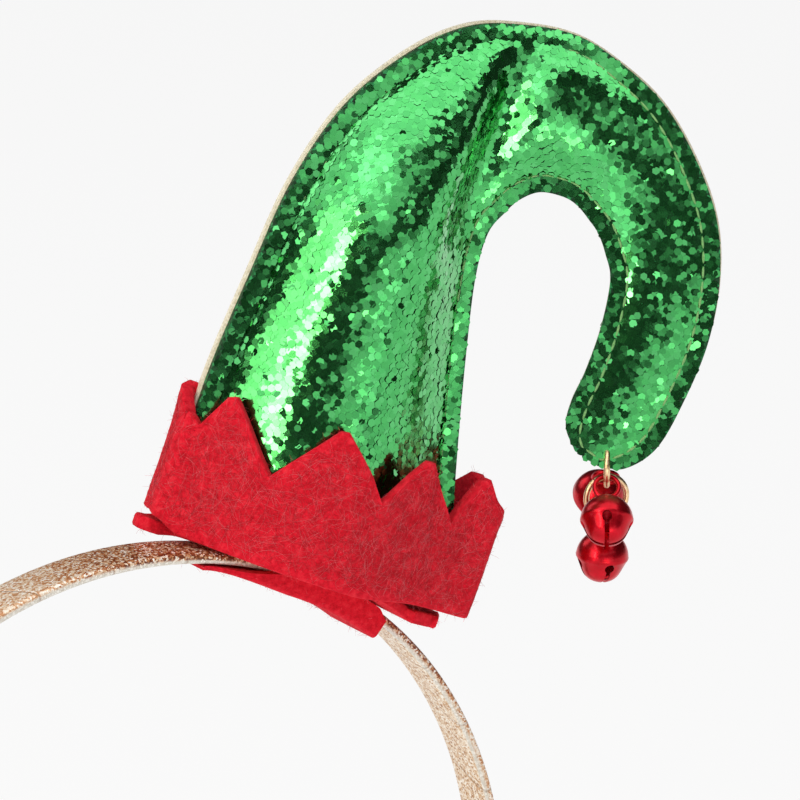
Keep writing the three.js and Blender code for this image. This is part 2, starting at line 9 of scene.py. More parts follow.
import bpy
import numpy as np
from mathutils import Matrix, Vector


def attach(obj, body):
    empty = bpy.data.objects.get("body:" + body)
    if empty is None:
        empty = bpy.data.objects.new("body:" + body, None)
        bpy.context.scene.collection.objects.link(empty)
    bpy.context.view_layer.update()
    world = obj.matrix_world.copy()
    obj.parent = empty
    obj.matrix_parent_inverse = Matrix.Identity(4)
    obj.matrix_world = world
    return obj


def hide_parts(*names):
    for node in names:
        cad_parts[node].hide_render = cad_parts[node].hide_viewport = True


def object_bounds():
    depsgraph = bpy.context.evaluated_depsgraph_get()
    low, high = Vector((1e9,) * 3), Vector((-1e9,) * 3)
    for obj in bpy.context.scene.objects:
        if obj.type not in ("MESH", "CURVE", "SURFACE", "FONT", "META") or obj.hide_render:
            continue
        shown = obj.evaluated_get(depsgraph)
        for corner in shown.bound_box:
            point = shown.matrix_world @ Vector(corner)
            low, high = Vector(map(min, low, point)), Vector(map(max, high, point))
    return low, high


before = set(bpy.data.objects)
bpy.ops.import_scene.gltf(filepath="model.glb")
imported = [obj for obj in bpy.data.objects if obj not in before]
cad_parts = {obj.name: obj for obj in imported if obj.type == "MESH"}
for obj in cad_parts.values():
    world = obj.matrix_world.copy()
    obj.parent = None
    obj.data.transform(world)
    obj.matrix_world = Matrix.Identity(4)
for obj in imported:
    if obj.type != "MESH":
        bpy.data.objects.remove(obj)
cad_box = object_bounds()
scene = bpy.context.scene
MM = 0.001
print("frame", sorted(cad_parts), "box", cad_box)

# %% [markdown]
# The camera stands to the left of the front and looks a little down, as the photograph does.
# A long lens keeps the hat's proportions, and the view is aimed so that the crown of the band
# falls low on the left of the picture and the arms of the band run out of it.

# %% Camera
CAMERA_LEFT = math.radians(32.4)
CAMERA_ABOVE = math.radians(16.3)
CAMERA_DISTANCE = 0.8
CAMERA_NEAREST = 0.01
SENSOR_MM = 36.0
PIXELS_PER_MM = 6.8
PICTURE = 800
CROWN = np.array([0.0, 0.0, 1.0 * MM])
CROWN_PIXEL = (123, 558)


def way_to(left, above):
    """The direction of a place so far left of the front and above the level, as a unit vector."""
    return np.array([-math.sin(left) * math.cos(above), -math.cos(left) * math.cos(above), math.sin(above)])


def add_facing(name, data, target, left, above, distance):
    """A camera or lamp at a distance from a target, turned to look at it."""
    thing = bpy.data.objects.new(name, data)
    thing.location = target + way_to(left, above) * distance
    thing.rotation_euler = (math.pi / 2 - above, 0.0, -left)
    scene.collection.objects.link(thing)
    return thing


right = np.array([math.cos(CAMERA_LEFT), -math.sin(CAMERA_LEFT), 0.0])
up = np.cross(right, -way_to(CAMERA_LEFT, CAMERA_ABOVE))
crown_off = (PICTURE / 2 - CROWN_PIXEL[0], CROWN_PIXEL[1] - PICTURE / 2)
aim = CROWN + (right * crown_off[0] + up * crown_off[1]) * MM / PIXELS_PER_MM
lens = bpy.data.cameras.new("camera")
lens.sensor_width = SENSOR_MM
lens.lens = SENSOR_MM * CAMERA_DISTANCE / (PICTURE / PIXELS_PER_MM * MM)
lens.clip_start = CAMERA_NEAREST
scene.camera = add_facing("camera", lens, aim, CAMERA_LEFT, CAMERA_ABOVE, CAMERA_DISTANCE)
print("camera lens mm", round(lens.lens, 1), "at", scene.camera.location[:])

# %% [markdown]
# A few small tools serve every finish. One turns the hex colour of a paint chart into the linear
# light Blender works in, one adds a shader node with its settings and links, and the others start
# and finish a material. Colours are kept as hex because that is how a swatch is read.


# %% Tools for finishes
def linear(hex_colour):
    """A hex colour as linear red, green, blue and full alpha, by the sRGB curve."""
    srgb = np.array([int(hex_colour[i:i + 2], 16) for i in (1, 3, 5)]) / 255
    light = np.where(srgb <= 0.04045, srgb / 12.92, ((srgb + 0.055) / 1.055) ** 2.4)
    return (*light.tolist(), 1.0)


def add_node(tree, kind, inputs=None, stops=(), **settings):
    """A shader node with its properties, colour stops and inputs; a node as input lends its first output."""
    node = tree.nodes.new("ShaderNode" + kind)
    for name, value in settings.items():
        setattr(node, name, value)
    for socket, value in (inputs or {}).items():
        if isinstance(value, bpy.types.Node):
            value = next(output for output in value.outputs if output.enabled)
        if isinstance(value, bpy.types.NodeSocket):
            tree.links.new(value, node.inputs[socket])
        else:
            node.inputs[socket].default_value = value
    if stops:
        elements = node.color_ramp.elements
        while len(elements) < len(stops):
            elements.new(0.5)
        for element, (position, colour) in zip(elements, stops):
            element.position = position
            element.color = linear(colour)
    return node


def new_material(name):
    """An empty node material: returns the material and its tree."""
    material = bpy.data.materials.new(name)
    material.use_nodes = True
    material.node_tree.nodes.clear()
    return material, material.node_tree


def finish_material(tree, inputs):
    """A principled shader with these inputs, linked to the material's output."""
    add_node(tree, "OutputMaterial", {"Surface": add_node(tree, "BsdfPrincipled", inputs)})


def grained_material(name, grain, stops, shader, relief=None):
    """A material whose colour, and relief of a given strength and depth, follow a noise of one grain size."""
    material, tree = new_material(name)
    place = add_node(tree, "TexCoord").outputs["Object"]
    noise = add_node(tree, "TexNoise", {"Vector": place, "Scale": 1 / grain, "Detail": 2.0})
    shader = {"Base Color": add_node(tree, "ValToRGB", {"Fac": noise}, stops), **shader}
    if relief:
        strength, depth = relief
        shader["Normal"] = add_node(tree, "Bump", {"Height": noise, "Strength": strength, "Distance": depth})
    finish_material(tree, shader)
    return material


# %% [markdown]
# A piece is a set of points and faces worked out as arrays. The faces of a grid come from index
# arithmetic, and the mesh is filled in one go, which is quick even for thousands of flakes. Flakes,
# threads, fibres and wires are all rings of points round a path, so one pair of tools makes them.


# %% Tools for surfaces
def grid_faces(rows, columns, close_rows=False, close_columns=False):
    """Quads joining a grid of points row by row; a closed direction joins its last line to its first."""
    row = np.arange(rows if close_rows else rows - 1)[:, None]
    column = np.arange(columns if close_columns else columns - 1)[None, :]
    here, below = row * columns, (row + 1) % rows * columns
    beside = (column + 1) % columns
    corners = [here + column, here + beside, below + beside, below + column]
    return np.stack(np.broadcast_arrays(*corners), -1).reshape(-1, 4)


def slab_faces(rows, columns):
    """Faces of two equal grids stacked as one body: the first grid, the second, and the edge between."""
    offset = rows * columns
    faces = grid_faces(rows, columns)
    top = np.arange(columns - 1)
    right_side = np.arange(rows - 1) * columns + columns - 1
    bottom = (rows - 1) * columns + np.arange(columns - 1, 0, -1)
    left_side = np.arange(rows - 1, 0, -1) * columns
    rim = np.concatenate([top, right_side, bottom, left_side])
    beyond = np.roll(rim, -1)
    return [faces, faces[:, ::-1] + offset, np.stack([beyond, rim, rim + offset, beyond + offset], -1)]


def tube_points(path, first, second, radius, sides):
    """Rings of points round every place of one or more paths, in the plane of two directions there."""
    turn = np.arange(sides)[:, None] * 2 * np.pi / sides
    ring = np.cos(turn) * first[..., None, :] + np.sin(turn) * second[..., None, :]
    return path[..., None, :] + ring * radius


def tube_faces(count, rings, sides):
    """Faces of equal tubes that follow each other: the walls of all, then a face on each of their ends."""
    base = (np.arange(count) * rings * sides)[:, None]
    walls = grid_faces(rings, sides, close_columns=True)[None] + base[:, :, None]
    first_end = np.arange(sides)[None, ::-1] + base
    last_end = np.arange(sides)[None] + (rings - 1) * sides + base
    return [walls.reshape(-1, 4), np.concatenate([first_end, last_end])]


def outward(points, face_sets):
    """The faces turned to look outwards: all are flipped if the volume they enclose comes out negative."""
    volume = 0.0
    for faces in face_sets:
        corner = points[faces]
        for k in range(1, faces.shape[1] - 1):
            volume += (corner[:, 0] * np.cross(corner[:, k], corner[:, k + 1])).sum()
    return face_sets if volume > 0 else [faces[:, ::-1] for faces in face_sets]


def make_piece(name, points, face_sets, materials, body, smooth=True, sharp_degrees=None, indices=None):
    """A mesh object at the origin from points and one or more arrays of equal-sized faces."""
    points = np.asarray(points).reshape(-1, 3)
    face_sets = outward(points, face_sets)
    corners = np.concatenate([faces.ravel() for faces in face_sets]).astype(np.int32)
    sizes = np.concatenate([np.full(len(faces), faces.shape[1]) for faces in face_sets])
    starts = np.concatenate([[0], np.cumsum(sizes)[:-1]]).astype(np.int32)
    mesh = bpy.data.meshes.new(name)
    mesh.vertices.add(len(points))
    mesh.vertices.foreach_set("co", points.astype(np.float32).ravel())
    mesh.loops.add(len(corners))
    mesh.loops.foreach_set("vertex_index", corners)
    mesh.polygons.add(len(sizes))
    mesh.polygons.foreach_set("loop_start", starts)
    for material in materials:
        mesh.materials.append(material)
    if indices is not None:
        numbers = np.concatenate([np.full(len(faces), index) for faces, index in zip(face_sets, indices)])
        mesh.polygons.foreach_set("material_index", numbers.astype(np.int32))
    mesh.update(calc_edges=True)
    mesh.polygons.foreach_set("use_smooth", np.full(len(sizes), smooth))
    if sharp_degrees is not None:
        mesh.set_sharp_from_angle(angle=math.radians(sharp_degrees))
    piece = bpy.data.objects.new(name, mesh)
    scene.collection.objects.link(piece)
    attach(piece, body)
    print(name, len(points), "points", len(sizes), "faces")
    return piece


def add_values(piece, name, values):
    """A number for every point of a piece, for its material to read."""
    attribute = piece.data.attributes.new(name, "FLOAT", "POINT")
    attribute.data.foreach_set("value", np.asarray(values, dtype=np.float32).ravel())


def add_uv(piece, name, point_uv):
    """A UV map given point by point, spread to the corners of the faces."""
    corner_points = np.empty(len(piece.data.loops), dtype=np.int32)
    piece.data.loops.foreach_get("vertex_index", corner_points)
    corner_uv = np.asarray(point_uv, dtype=np.float32).reshape(-1, 2)[corner_points]
    piece.data.uv_layers.new(name=name).uv.foreach_set("vector", corner_uv.ravel())


def mesh_triangles(mesh):
    """A mesh's points, and its faces as triangles of point numbers."""
    mesh.calc_loop_triangles()
    points = np.empty(len(mesh.vertices) * 3, dtype=np.float32)
    mesh.vertices.foreach_get("co", points)
    triangles = np.empty(len(mesh.loop_triangles) * 3, dtype=np.int32)
    mesh.loop_triangles.foreach_get("vertices", triangles)
    return points.reshape(-1, 3).astype(float), triangles.reshape(-1, 3)


def unit(vectors):
    """Vectors scaled to length one along their last axis."""
    return vectors / np.maximum(np.linalg.norm(vectors, axis=-1, keepdims=True), 1e-12)


def grid_area(points):
    """Area of a grid of points, quad by quad."""
    down = points[1:, :-1] - points[:-1, :-1]
    over = points[:-1, 1:] - points[:-1, :-1]
    return np.linalg.norm(np.cross(down, over), axis=-1)


def path_distance(points):
    """Distance from a path's start at each of its points."""
    return np.concatenate([[0], np.cumsum(np.linalg.norm(np.diff(points, axis=0), axis=1))])


def read_along(at, distance, vectors):
    """Vectors known at distances along a path, read at other distances."""
    return np.stack([np.interp(at, distance, column) for column in vectors.T], -1)


def smooth_step(value, low, high):
    """0 below low, 1 above high, with a smooth S between."""
    share = np.clip((value - low) / (high - low), 0, 1)
    return share * share * (3 - 2 * share)


# %% [markdown]
# Studio: a pale floor under the tips of the band that glows like a light table, a wide soft box
# overhead, a narrow upright one and a broad one at the left, and one behind. Dim cards round the
# front give the flakes something pale to mirror. The rest of the room stays dark, because glitter
# only sparkles where some flakes mirror a light and their neighbours mirror the dark.

# %% Stage and light
FLOOR_DROP = 0.3 * MM
FLOOR_HALF = 8.0
FLOOR_GLOW = 0.905
ROOM_GLOW = 0.035
HAT_MIDDLE = np.array([0.055, -0.005, 0.03])
WHITE, WARM, IVORY = "#FFFFFF", "#FFF4DC", "#FFF8EA"
SOFT_BOXES = [
    # name, degrees left of the front, degrees up, distance, width, height, watts, colour
    ("key_box", 65, 18, 0.80, 0.12, 0.36, 1.2, WARM),
    ("side_box", 81, 20, 0.80, 0.32, 0.44, 0.95, IVORY),
    ("top_box", 22, 75, 0.95, 1.50, 1.00, 7.2, WHITE),
    ("rear_box", 150, 35, 1.00, 0.60, 0.60, 2.0, WHITE),
    ("left_card", 76, 43, 0.90, 1.25, 0.30, 1.25, WHITE),
    ("brow_card", 24, 30, 0.90, 0.52, 0.32, 0.44, WHITE),
    ("right_brow_card", -16, 24, 0.90, 0.50, 0.12, 0.16, WHITE),
    ("front_card", 10, 1, 0.90, 0.86, 0.24, 0.52, WHITE),
    ("low_left_card", 54, 0, 0.90, 0.44, 0.22, 0.26, WHITE),
    ("low_card", 13, -10, 0.50, 0.18, 0.09, 0.16, WARM),
]

scene.view_settings.view_transform = "Standard"
floor_paint, tree = new_material("studio floor, matt pale paint")
finish_material(tree, {
    "Base Color": linear("#4A4A4A"), "Roughness": 1.0, "Specular IOR Level": 0.0,
    "Emission Color": linear(WHITE), "Emission Strength": FLOOR_GLOW})
floor_level = cad_box[0][2] - FLOOR_DROP
floor_mesh = bpy.data.meshes.new("floor")
floor_mesh.from_pydata([(FLOOR_HALF * x, FLOOR_HALF * y, floor_level)
                        for x, y in ((-1, -1), (1, -1), (1, 1), (-1, 1))], [], [(0, 1, 2, 3)])
floor_mesh.materials.append(floor_paint)
floor = bpy.data.objects.new("floor", floor_mesh)
scene.collection.objects.link(floor)

room = bpy.data.worlds.new("studio room")
room.use_nodes = True
room.node_tree.nodes.clear()
dim = add_node(room.node_tree, "Background", {"Color": linear(WHITE), "Strength": ROOM_GLOW})
add_node(room.node_tree, "OutputWorld", {"Surface": dim})
scene.world = room

for name, left, above, distance, width, height, watts, colour in SOFT_BOXES:
    lamp = bpy.data.lights.new(name, "AREA")
    lamp.shape = "RECTANGLE"
    lamp.size = width
    lamp.size_y = height
    lamp.energy = watts
    lamp.color = linear(colour)[:3]
    add_facing(name, lamp, HAT_MIDDLE, math.radians(left), math.radians(above), distance)
print("stage at", round(floor_level, 4), "with", len(SOFT_BOXES), "soft boxes and cards")

# %% [markdown]
# The band is a springy plastic strip that a metallic ribbon is wound round. A profile carried
# along the horseshoe makes it, an arc over the head and a straight leg on either side, with its
# ends rounded off.

# %% Band shape
BAND_INNER_RADIUS = 63 * MM
BAND_WIDTH = 8.6 * MM
BAND_THICK = 2.0 * MM
BAND_ARC_HALF = math.radians(94)
BAND_ARC = (BAND_INNER_RADIUS + BAND_THICK / 2) * BAND_ARC_HALF
BAND_LEG = 56 * MM
BAND_END = BAND_ARC + BAND_LEG
BAND_TIP_ROUND = 4 * MM
BAND_TIP_LEAST = 0.004
BAND_SQUARE = (0.45, 0.55)
BAND_DOME = 0.12
BAND_SECTION = 64
BAND_STATIONS = 420
BAND_TIP_STATIONS = 14


def band_section(count):
    """A flat strip's outline: a superellipse across its width, its outer side slightly domed."""
    turn = np.linspace(0, 2 * np.pi, count, endpoint=False)
    across, out = [np.sign(wave) * np.abs(wave) ** power
                   for wave, power in zip((np.cos(turn), np.sin(turn)), BAND_SQUARE)]
    domed = out * (1 + BAND_DOME * (1 - across ** 2)) / (1 + BAND_DOME)
    return across, np.where(out > 0, domed, out)


def band_points(distance, across, out):
    """Points of the strip at distances along it from the crown: an arc, then a straight leg."""
    angle = np.clip(distance, -BAND_ARC, BAND_ARC) / BAND_ARC * BAND_ARC_HALF
    past = np.maximum(np.abs(distance) - BAND_ARC, 0)
    into_tip = np.clip(1 - (BAND_END - np.abs(distance)) / BAND_TIP_ROUND, 0, 1)
    narrow = np.sqrt(np.maximum(1 - into_tip ** 2, BAND_TIP_LEAST))
    radius = BAND_INNER_RADIUS + BAND_THICK / 2 * (1 + out)
    x = radius * np.sin(angle) + np.sign(distance) * past * np.cos(angle)
    z = radius * np.cos(angle) - past * np.sin(np.abs(angle)) - BAND_INNER_RADIUS
    return np.stack(np.broadcast_arrays(x, across * narrow * BAND_WIDTH / 2, z), -1)


tip_spread = BAND_TIP_ROUND * (1 - np.cos(np.linspace(0, np.pi / 2, BAND_TIP_STATIONS)))[:-1]
band_middle = np.linspace(-BAND_END + BAND_TIP_ROUND, BAND_END - BAND_TIP_ROUND, BAND_STATIONS)
band_along = np.concatenate([-BAND_END + tip_spread, band_middle, BAND_END - tip_spread[::-1]])[:, None]
section_across, section_out = band_section(BAND_SECTION)
band_grid = band_points(band_along, section_across, section_out)
print("band stations", len(band_along), "half length mm", round(BAND_END / MM, 1))

# %% [markdown]
# The ribbon has a fine glitter grain: foil specks in tones from copper to white. Its outer face is
# copper, darkest where it runs under the hat, partly the ribbon's own copper and partly painted
# shade from the cuff; its inner face is a paler beige, and a pale stripe along the front edge is a
# painted highlight of its glossy rounded edge. The winding leaves a slanting seam every 12 mm or so.
# A UV map in millimetres lets the seams follow the strip round its bend.

# %% Band finish
SPECK = 0.3 * MM
SPECK_DEPTH = 0.08 * MM
# Painted shade: the outer face darkens towards the part under the hat, partly the ribbon's copper and partly
# the cuff's shadow.
COPPER_AND_SHADE_MIDDLE = 28.0
COPPER_AND_SHADE_REACH = (16.0, 46.0)
COPPER_AND_SHADE_SHIFT = -0.4
PALE_SHIFT = 0.5
OUTER_FACE = (0.34, 0.5)
SEAM_PITCH = 12.5
SEAM_SLANT = 0.55
SEAM_WIDTH = 0.022
SEAM_SHADE = 0.4
SEAM_DEPTH = 0.25 * MM
# The pale stripe along the front edge is a painted highlight of the glossy rounded edge.
EDGE_HIGHLIGHT_FROM = -0.88
EDGE_HIGHLIGHT_BLUR = 0.06
EDGE_HIGHLIGHT_TOP = (0.3, -0.15)
EDGE_HIGHLIGHT_TURN = (-15 * MM, 25 * MM)
EDGE_HIGHLIGHT_FADE = 0.3

ribbon, tree = new_material("rose gold glitter ribbon, wound")
strip = add_node(tree, "SeparateXYZ", {"Vector": add_node(tree, "UVMap", uv_map="strip")})
place = add_node(tree, "TexCoord").outputs["Object"]
specks = add_node(tree, "TexVoronoi", {"Vector": place, "Scale": 1 / SPECK}, feature="F1")
speck_tone = add_node(tree, "SeparateColor", {"Color": specks.outputs["Color"]}).outputs

# Painted shade: the copper deepens near the hat, partly the ribbon's own colour and partly the cuff's shadow
# painted in.
off_shaded_middle = add_node(tree, "Math", {0: strip.outputs["X"], 1: COPPER_AND_SHADE_MIDDLE}, operation="SUBTRACT")
shade_to_pale = add_node(tree, "MapRange", {
    "Value": add_node(tree, "Math", {0: off_shaded_middle}, operation="ABSOLUTE"),
    "From Min": COPPER_AND_SHADE_REACH[0], "From Max": COPPER_AND_SHADE_REACH[1],
    "To Min": COPPER_AND_SHADE_SHIFT, "To Max": PALE_SHIFT}, interpolation_type="SMOOTHSTEP")
outer_tone = add_node(tree, "MapRange", {"Value": speck_tone[0], "To Min": shade_to_pale, "To Max": 1.0})
copper = add_node(tree, "ValToRGB", {"Fac": outer_tone}, [
    (0.0, "#6E3216"), (0.35, "#A25A2E"), (0.6, "#CC9468"), (0.8, "#EBD0B2"), (1.0, "#FFFAF2")])
beige = add_node(tree, "ValToRGB", {"Fac": speck_tone[1]}, [
    (0.0, "#A06A3C"), (0.2, "#CFA478"), (0.5, "#E6CDAE"), (1.0, "#FDF6EA")])
pale = add_node(tree, "ValToRGB", {"Fac": speck_tone[2]}, [
    (0.0, "#CFC8BC"), (0.6, "#DFDAD0"), (1.0, "#F6F3EC")])

slant = add_node(tree, "Math", {0: strip.outputs["Y"], 1: SEAM_SLANT}, operation="MULTIPLY")
off_seam = add_node(tree, "Math", {0: strip.outputs["X"], 1: slant}, operation="ADD")
for operation, value in (("DIVIDE", SEAM_PITCH), ("FRACT", 0.0), ("SUBTRACT", 0.5), ("ABSOLUTE", 0.0)):
    off_seam = add_node(tree, "Math", {0: off_seam, 1: value}, operation=operation)
seam = add_node(tree, "MapRange", {
    "Value": off_seam, "From Max": SEAM_WIDTH, "To Min": 1.0, "To Max": 0.0})
seam_tone = add_node(tree, "Math", {0: seam, 1: SEAM_SHADE}, operation="MULTIPLY")

outer_share = add_node(tree, "MapRange", {
    "Value": add_node(tree, "Attribute", attribute_name="outward").outputs["Fac"],
    "From Min": OUTER_FACE[0], "From Max": OUTER_FACE[1]})
edge_highlight_share = add_node(tree, "Attribute", attribute_name="front_edge_highlight").outputs["Fac"]
ribbon_tone = beige
for share, layer in ((outer_share, copper), (edge_highlight_share, pale), (seam_tone, linear("#9C6C48"))):
    ribbon_tone = add_node(tree, "Mix", {"Factor": share, "A": ribbon_tone, "B": layer}, data_type="RGBA")
relief = add_node(tree, "Bump", {"Height": specks, "Strength": 0.3, "Distance": SPECK_DEPTH})
seam_relief = add_node(tree, "Bump", {
    "Height": seam, "Strength": 0.5, "Distance": SEAM_DEPTH, "Normal": relief}, invert=True)
finish_material(tree, {
    "Base Color": ribbon_tone, "Metallic": 0.25, "Roughness": 0.4, "Normal": seam_relief})

band = make_piece("band_ribbon", band_grid, tube_faces(1, len(band_along), BAND_SECTION), [ribbon],
                  "headband", sharp_degrees=60)
strip_place = np.broadcast_arrays(band_along, section_across * BAND_WIDTH / 2)
add_uv(band, "strip", np.stack(strip_place, -1) / MM)
add_values(band, "outward", np.broadcast_to(section_out * 0.5 + 0.5, band_grid.shape[:2]))
# Painted highlight: a pale stripe on the front edge, up to a top that shifts along the band, stands in for
# the shine of the glossy rounded edge.
on_highlight_edge = np.clip((EDGE_HIGHLIGHT_FROM - section_across) / EDGE_HIGHLIGHT_BLUR, 0, 1)
highlight_top = np.interp(band_along, EDGE_HIGHLIGHT_TURN, EDGE_HIGHLIGHT_TOP)
below_top = np.clip((highlight_top - section_out) / EDGE_HIGHLIGHT_FADE, 0, 1)
add_values(band, "front_edge_highlight", on_highlight_edge * below_top)
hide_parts("band")

# %% [markdown]
# The hat is two panels of glitter fabric cut to one pattern and sewn together: a stuffed cone
# that turns over into a flat hook. The pattern is a short table read from the foot to the tip.
# A smooth curve through the rows gives its edges, the sheet is bent forward towards the hook, and
# each panel bulges between its flat flanges as a parabola, pressed in at the crease.

# %% Hat pattern
CLEAR = 0.3 * MM
FELT = 2.0 * MM
FABRIC = 1.0 * MM
HAT_FOOT = FELT + CLEAR
HAT_LEAN = math.radians(23)
HAT_SHIFT = 6 * MM
HAT_TWIST = math.radians(14)
HOOK_CURL = math.radians(22)
CURL_LENGTH = 22 * MM
FLANGE = 2.6 * MM
FLANGE_SHARE = 0.3
CREASE_AT = 6 * MM
CREASE_HALF_WIDTH = 3.6 * MM
CREASE_DEPTH = 0.85
CREASE_HEIGHTS = (44 * MM, 58 * MM)
ROLL_BACK = 1.3 * MM
ROLL_WIDTH = 5.2 * MM
ROLL_ROWS = (8.5, 10.5)
FRONT, BACK = -1, 1
OUTER_ACROSS, OUTER_HEIGHT, INNER_ACROSS, INNER_HEIGHT, FRONT_PUFF, BACK_PUFF = range(6)
PATTERN = MM * np.array([
    (-24, 0, 24, 0, 12, 12),
    (-24, 10, 20, 10, 11.5, 11.5),
    (-24, 22, 16.5, 22, 10.5, 10.5),
    (-23, 36, 13, 35.5, 10, 10),
    (-21.5, 51.5, 10.5, 46.5, 9.5, 9),
    (-17.5, 65, 10, 53.5, 8, 7.5),
    (-10.5, 75.5, 11.5, 57.5, 6, 6),
    (-3, 82, 13, 60, 4.5, 4.5),
    (5.5, 85, 15.5, 62, 3.5, 3),
    (13.5, 86, 19, 62.5, 2.5, 2),
    (21.5, 84, 21.5, 62, 2, 1.5),
    (29, 80.5, 24, 60.5, 1.5, 1),
    (36, 74.5, 26, 59, 1, 0.8),
    (42, 67, 28, 56.5, 0.8, 0.7),
    (45.5, 58.5, 30, 53, 0.7, 0.6),
    (47, 49, 31, 46, 0.6, 0.5),
    (46.5, 39.5, 31, 39, 0.4, 0.4),
    (45, 31.5, 30.5, 34, 0.2, 0.2),
    (41.5, 27, 31, 30, 0.1, 0.1),
    (37.5, 26, 33.5, 27, 0, 0),
])
LAST_ROW = len(PATTERN) - 1


def pattern_row(along):
    """The pattern's values at positions along it: a uniform Catmull-Rom curve through its rows."""
    ends = np.concatenate([2 * PATTERN[:1] - PATTERN[1:2], PATTERN, 2 * PATTERN[-1:] - PATTERN[-2:-1]])
    step = np.clip(np.floor(along).astype(int), 0, LAST_ROW - 1)
    t = (along - step)[..., None]
    a, b, c, d = (ends[step + k] for k in range(4))
    square, cube = 2 * a - 5 * b + 4 * c - d, 3 * b - a - 3 * c + d
    return 0.5 * (2 * b + (c - a) * t + square * t ** 2 + cube * t ** 3)


def row_length(along):
    """Length of the pattern's row, edge to edge."""
    row = pattern_row(along)
    wide = row[..., INNER_ACROSS] - row[..., OUTER_ACROSS]
    tall = row[..., INNER_HEIGHT] - row[..., OUTER_HEIGHT]
    return np.hypot(wide, tall)


def flange_width(length):
    """Width of the flat flange on either edge of a row: less where the row is short."""
    return np.minimum(FLANGE, FLANGE_SHARE * length)


def plan_spot(across, lift):
    """Where a distance across the pattern, lifted towards the back, lies in plan on the bent sheet."""
    radius = CURL_LENGTH / HOOK_CURL
    turned = HAT_TWIST + HOOK_CURL * np.clip(across / CURL_LENGTH, 0, 1)
    straight = np.where(across < 0, across, np.maximum(across - CURL_LENGTH, 0))
    sine, cosine = np.sin(turned), np.cos(turned)
    u = straight * cosine + radius * (sine - math.sin(HAT_TWIST)) + lift * sine
    v = -straight * sine + radius * (cosine - math.cos(HAT_TWIST)) + lift * cosine
    return u, v


def stood_on_band(u, v, w):
    """Plan position and level above the band, leaned to the side where the hat is glued on."""
    lean_sin, lean_cos = math.sin(HAT_LEAN), math.cos(HAT_LEAN)
    stand = BAND_INNER_RADIUS + BAND_THICK + CLEAR
    x = (u + HAT_SHIFT) * lean_cos + (w + stand) * lean_sin
    z = -(u + HAT_SHIFT) * lean_sin + (w + stand) * lean_cos - BAND_INNER_RADIUS
    return np.stack(np.broadcast_arrays(x, v, z), -1)


def on_sheet(across, height, lift):
    """Pattern position and lift towards the back, in the part's frame."""
    return stood_on_band(*plan_spot(across, lift), HAT_FOOT + height)


def panel_form(along, inward, side):
    """Pattern position, bulge and wall of a panel at distances in from its outer edge."""
    row = pattern_row(along)
    length = row_length(along)
    share = inward / length
    across = row[..., OUTER_ACROSS] + share * (row[..., INNER_ACROSS] - row[..., OUTER_ACROSS])
    height = row[..., OUTER_HEIGHT] + share * (row[..., INNER_HEIGHT] - row[..., OUTER_HEIGHT])
    dome_half = length / 2 - flange_width(length)
    from_middle = np.clip(np.abs(inward - length / 2) / dome_half, 0, 1)
    pressed = CREASE_DEPTH * smooth_step(height, *CREASE_HEIGHTS)
    crease = 1 - pressed * np.exp(-((across - CREASE_AT) / CREASE_HALF_WIDTH) ** 2)
    puff = np.maximum(row[..., FRONT_PUFF] * crease if side == FRONT else row[..., BACK_PUFF], 0)
    slope = np.where(from_middle < 1, 2 * puff * from_middle / dome_half, 0)
    return across, height, puff * (1 - from_middle ** 2), FABRIC * np.hypot(1, slope)


def rolled_back(along, inward):
    """How far the outer seam rolls to the back near its edge: a parabola that fades up the hat."""
    near_edge = (1 - np.clip(inward / ROLL_WIDTH, 0, 1)) ** 2
    return ROLL_BACK * near_edge * (1 - smooth_step(along, *ROLL_ROWS))


def panel_skin(along, inward, side, lift=0.0):
    """Points on a panel's outer skin, raised by lift off the fabric."""
    across, height, bulge, wall = panel_form(along, inward, side)
    return on_sheet(across, height, side * (CLEAR / 2 + bulge + wall + lift) + rolled_back(along, inward))


print("pattern rows", len(PATTERN), "height mm", PATTERN[:, OUTER_HEIGHT].max() / MM)

# %% [markdown]
# Glitter fabric is a woven cream backing under a dark green film. The panel is a slab: its outer
# skin takes the film and its inside the backing. On the front panel the film wraps over the cut
# edge; the back panel is cut a hair larger along the outer edge and shows its backing there, which
# is what leaves the thin cream line. At the tip it is trimmed instead, so that the ring swings clear.

# %% Hat panels
PANEL_ROWS = 260
DOME_COLUMNS = 72
FLANGE_COLUMNS = 5
BACK_LIP = 0.3 * MM
LIP_ENDS = (12, 16)
TIP_TRIM = 0.6 * MM
TRIM_ROWS = (16, 18)
FILM_DUST = 0.5 * MM
DUST_DEPTH = 0.1 * MM
THREAD = 0.4 * MM
WEAVE_DEPTH = 0.15 * MM

# The same dark film finish goes on the flake edges as painted shade between the flakes.
film_and_flake_shade, tree = new_material("dark green film under glitter, sprayed")
place = add_node(tree, "TexCoord").outputs["Object"]
dust = add_node(tree, "TexVoronoi", {"Vector": place, "Scale": 1 / FILM_DUST}, feature="F1")
dust_tone = add_node(tree, "SeparateColor", {"Color": dust.outputs["Color"]})
finish_material(tree, {
    "Base Color": add_node(tree, "ValToRGB", {"Fac": dust_tone}, [
        (0.0, "#062712"), (0.6, "#12582B"), (1.0, "#2F9A58")]),
    "Metallic": 0.5, "Roughness": 0.4,
    "Normal": add_node(tree, "Bump", {"Height": dust, "Strength": 0.4, "Distance": DUST_DEPTH})})
backing = grained_material(
    "cream cotton backing, woven", THREAD, [(0.25, "#C9BFA0"), (0.6, "#EDE6CF"), (0.9, "#FAF6E8")],
    {"Roughness": 0.95, "Sheen Weight": 0.3}, relief=(0.5, WEAVE_DEPTH))


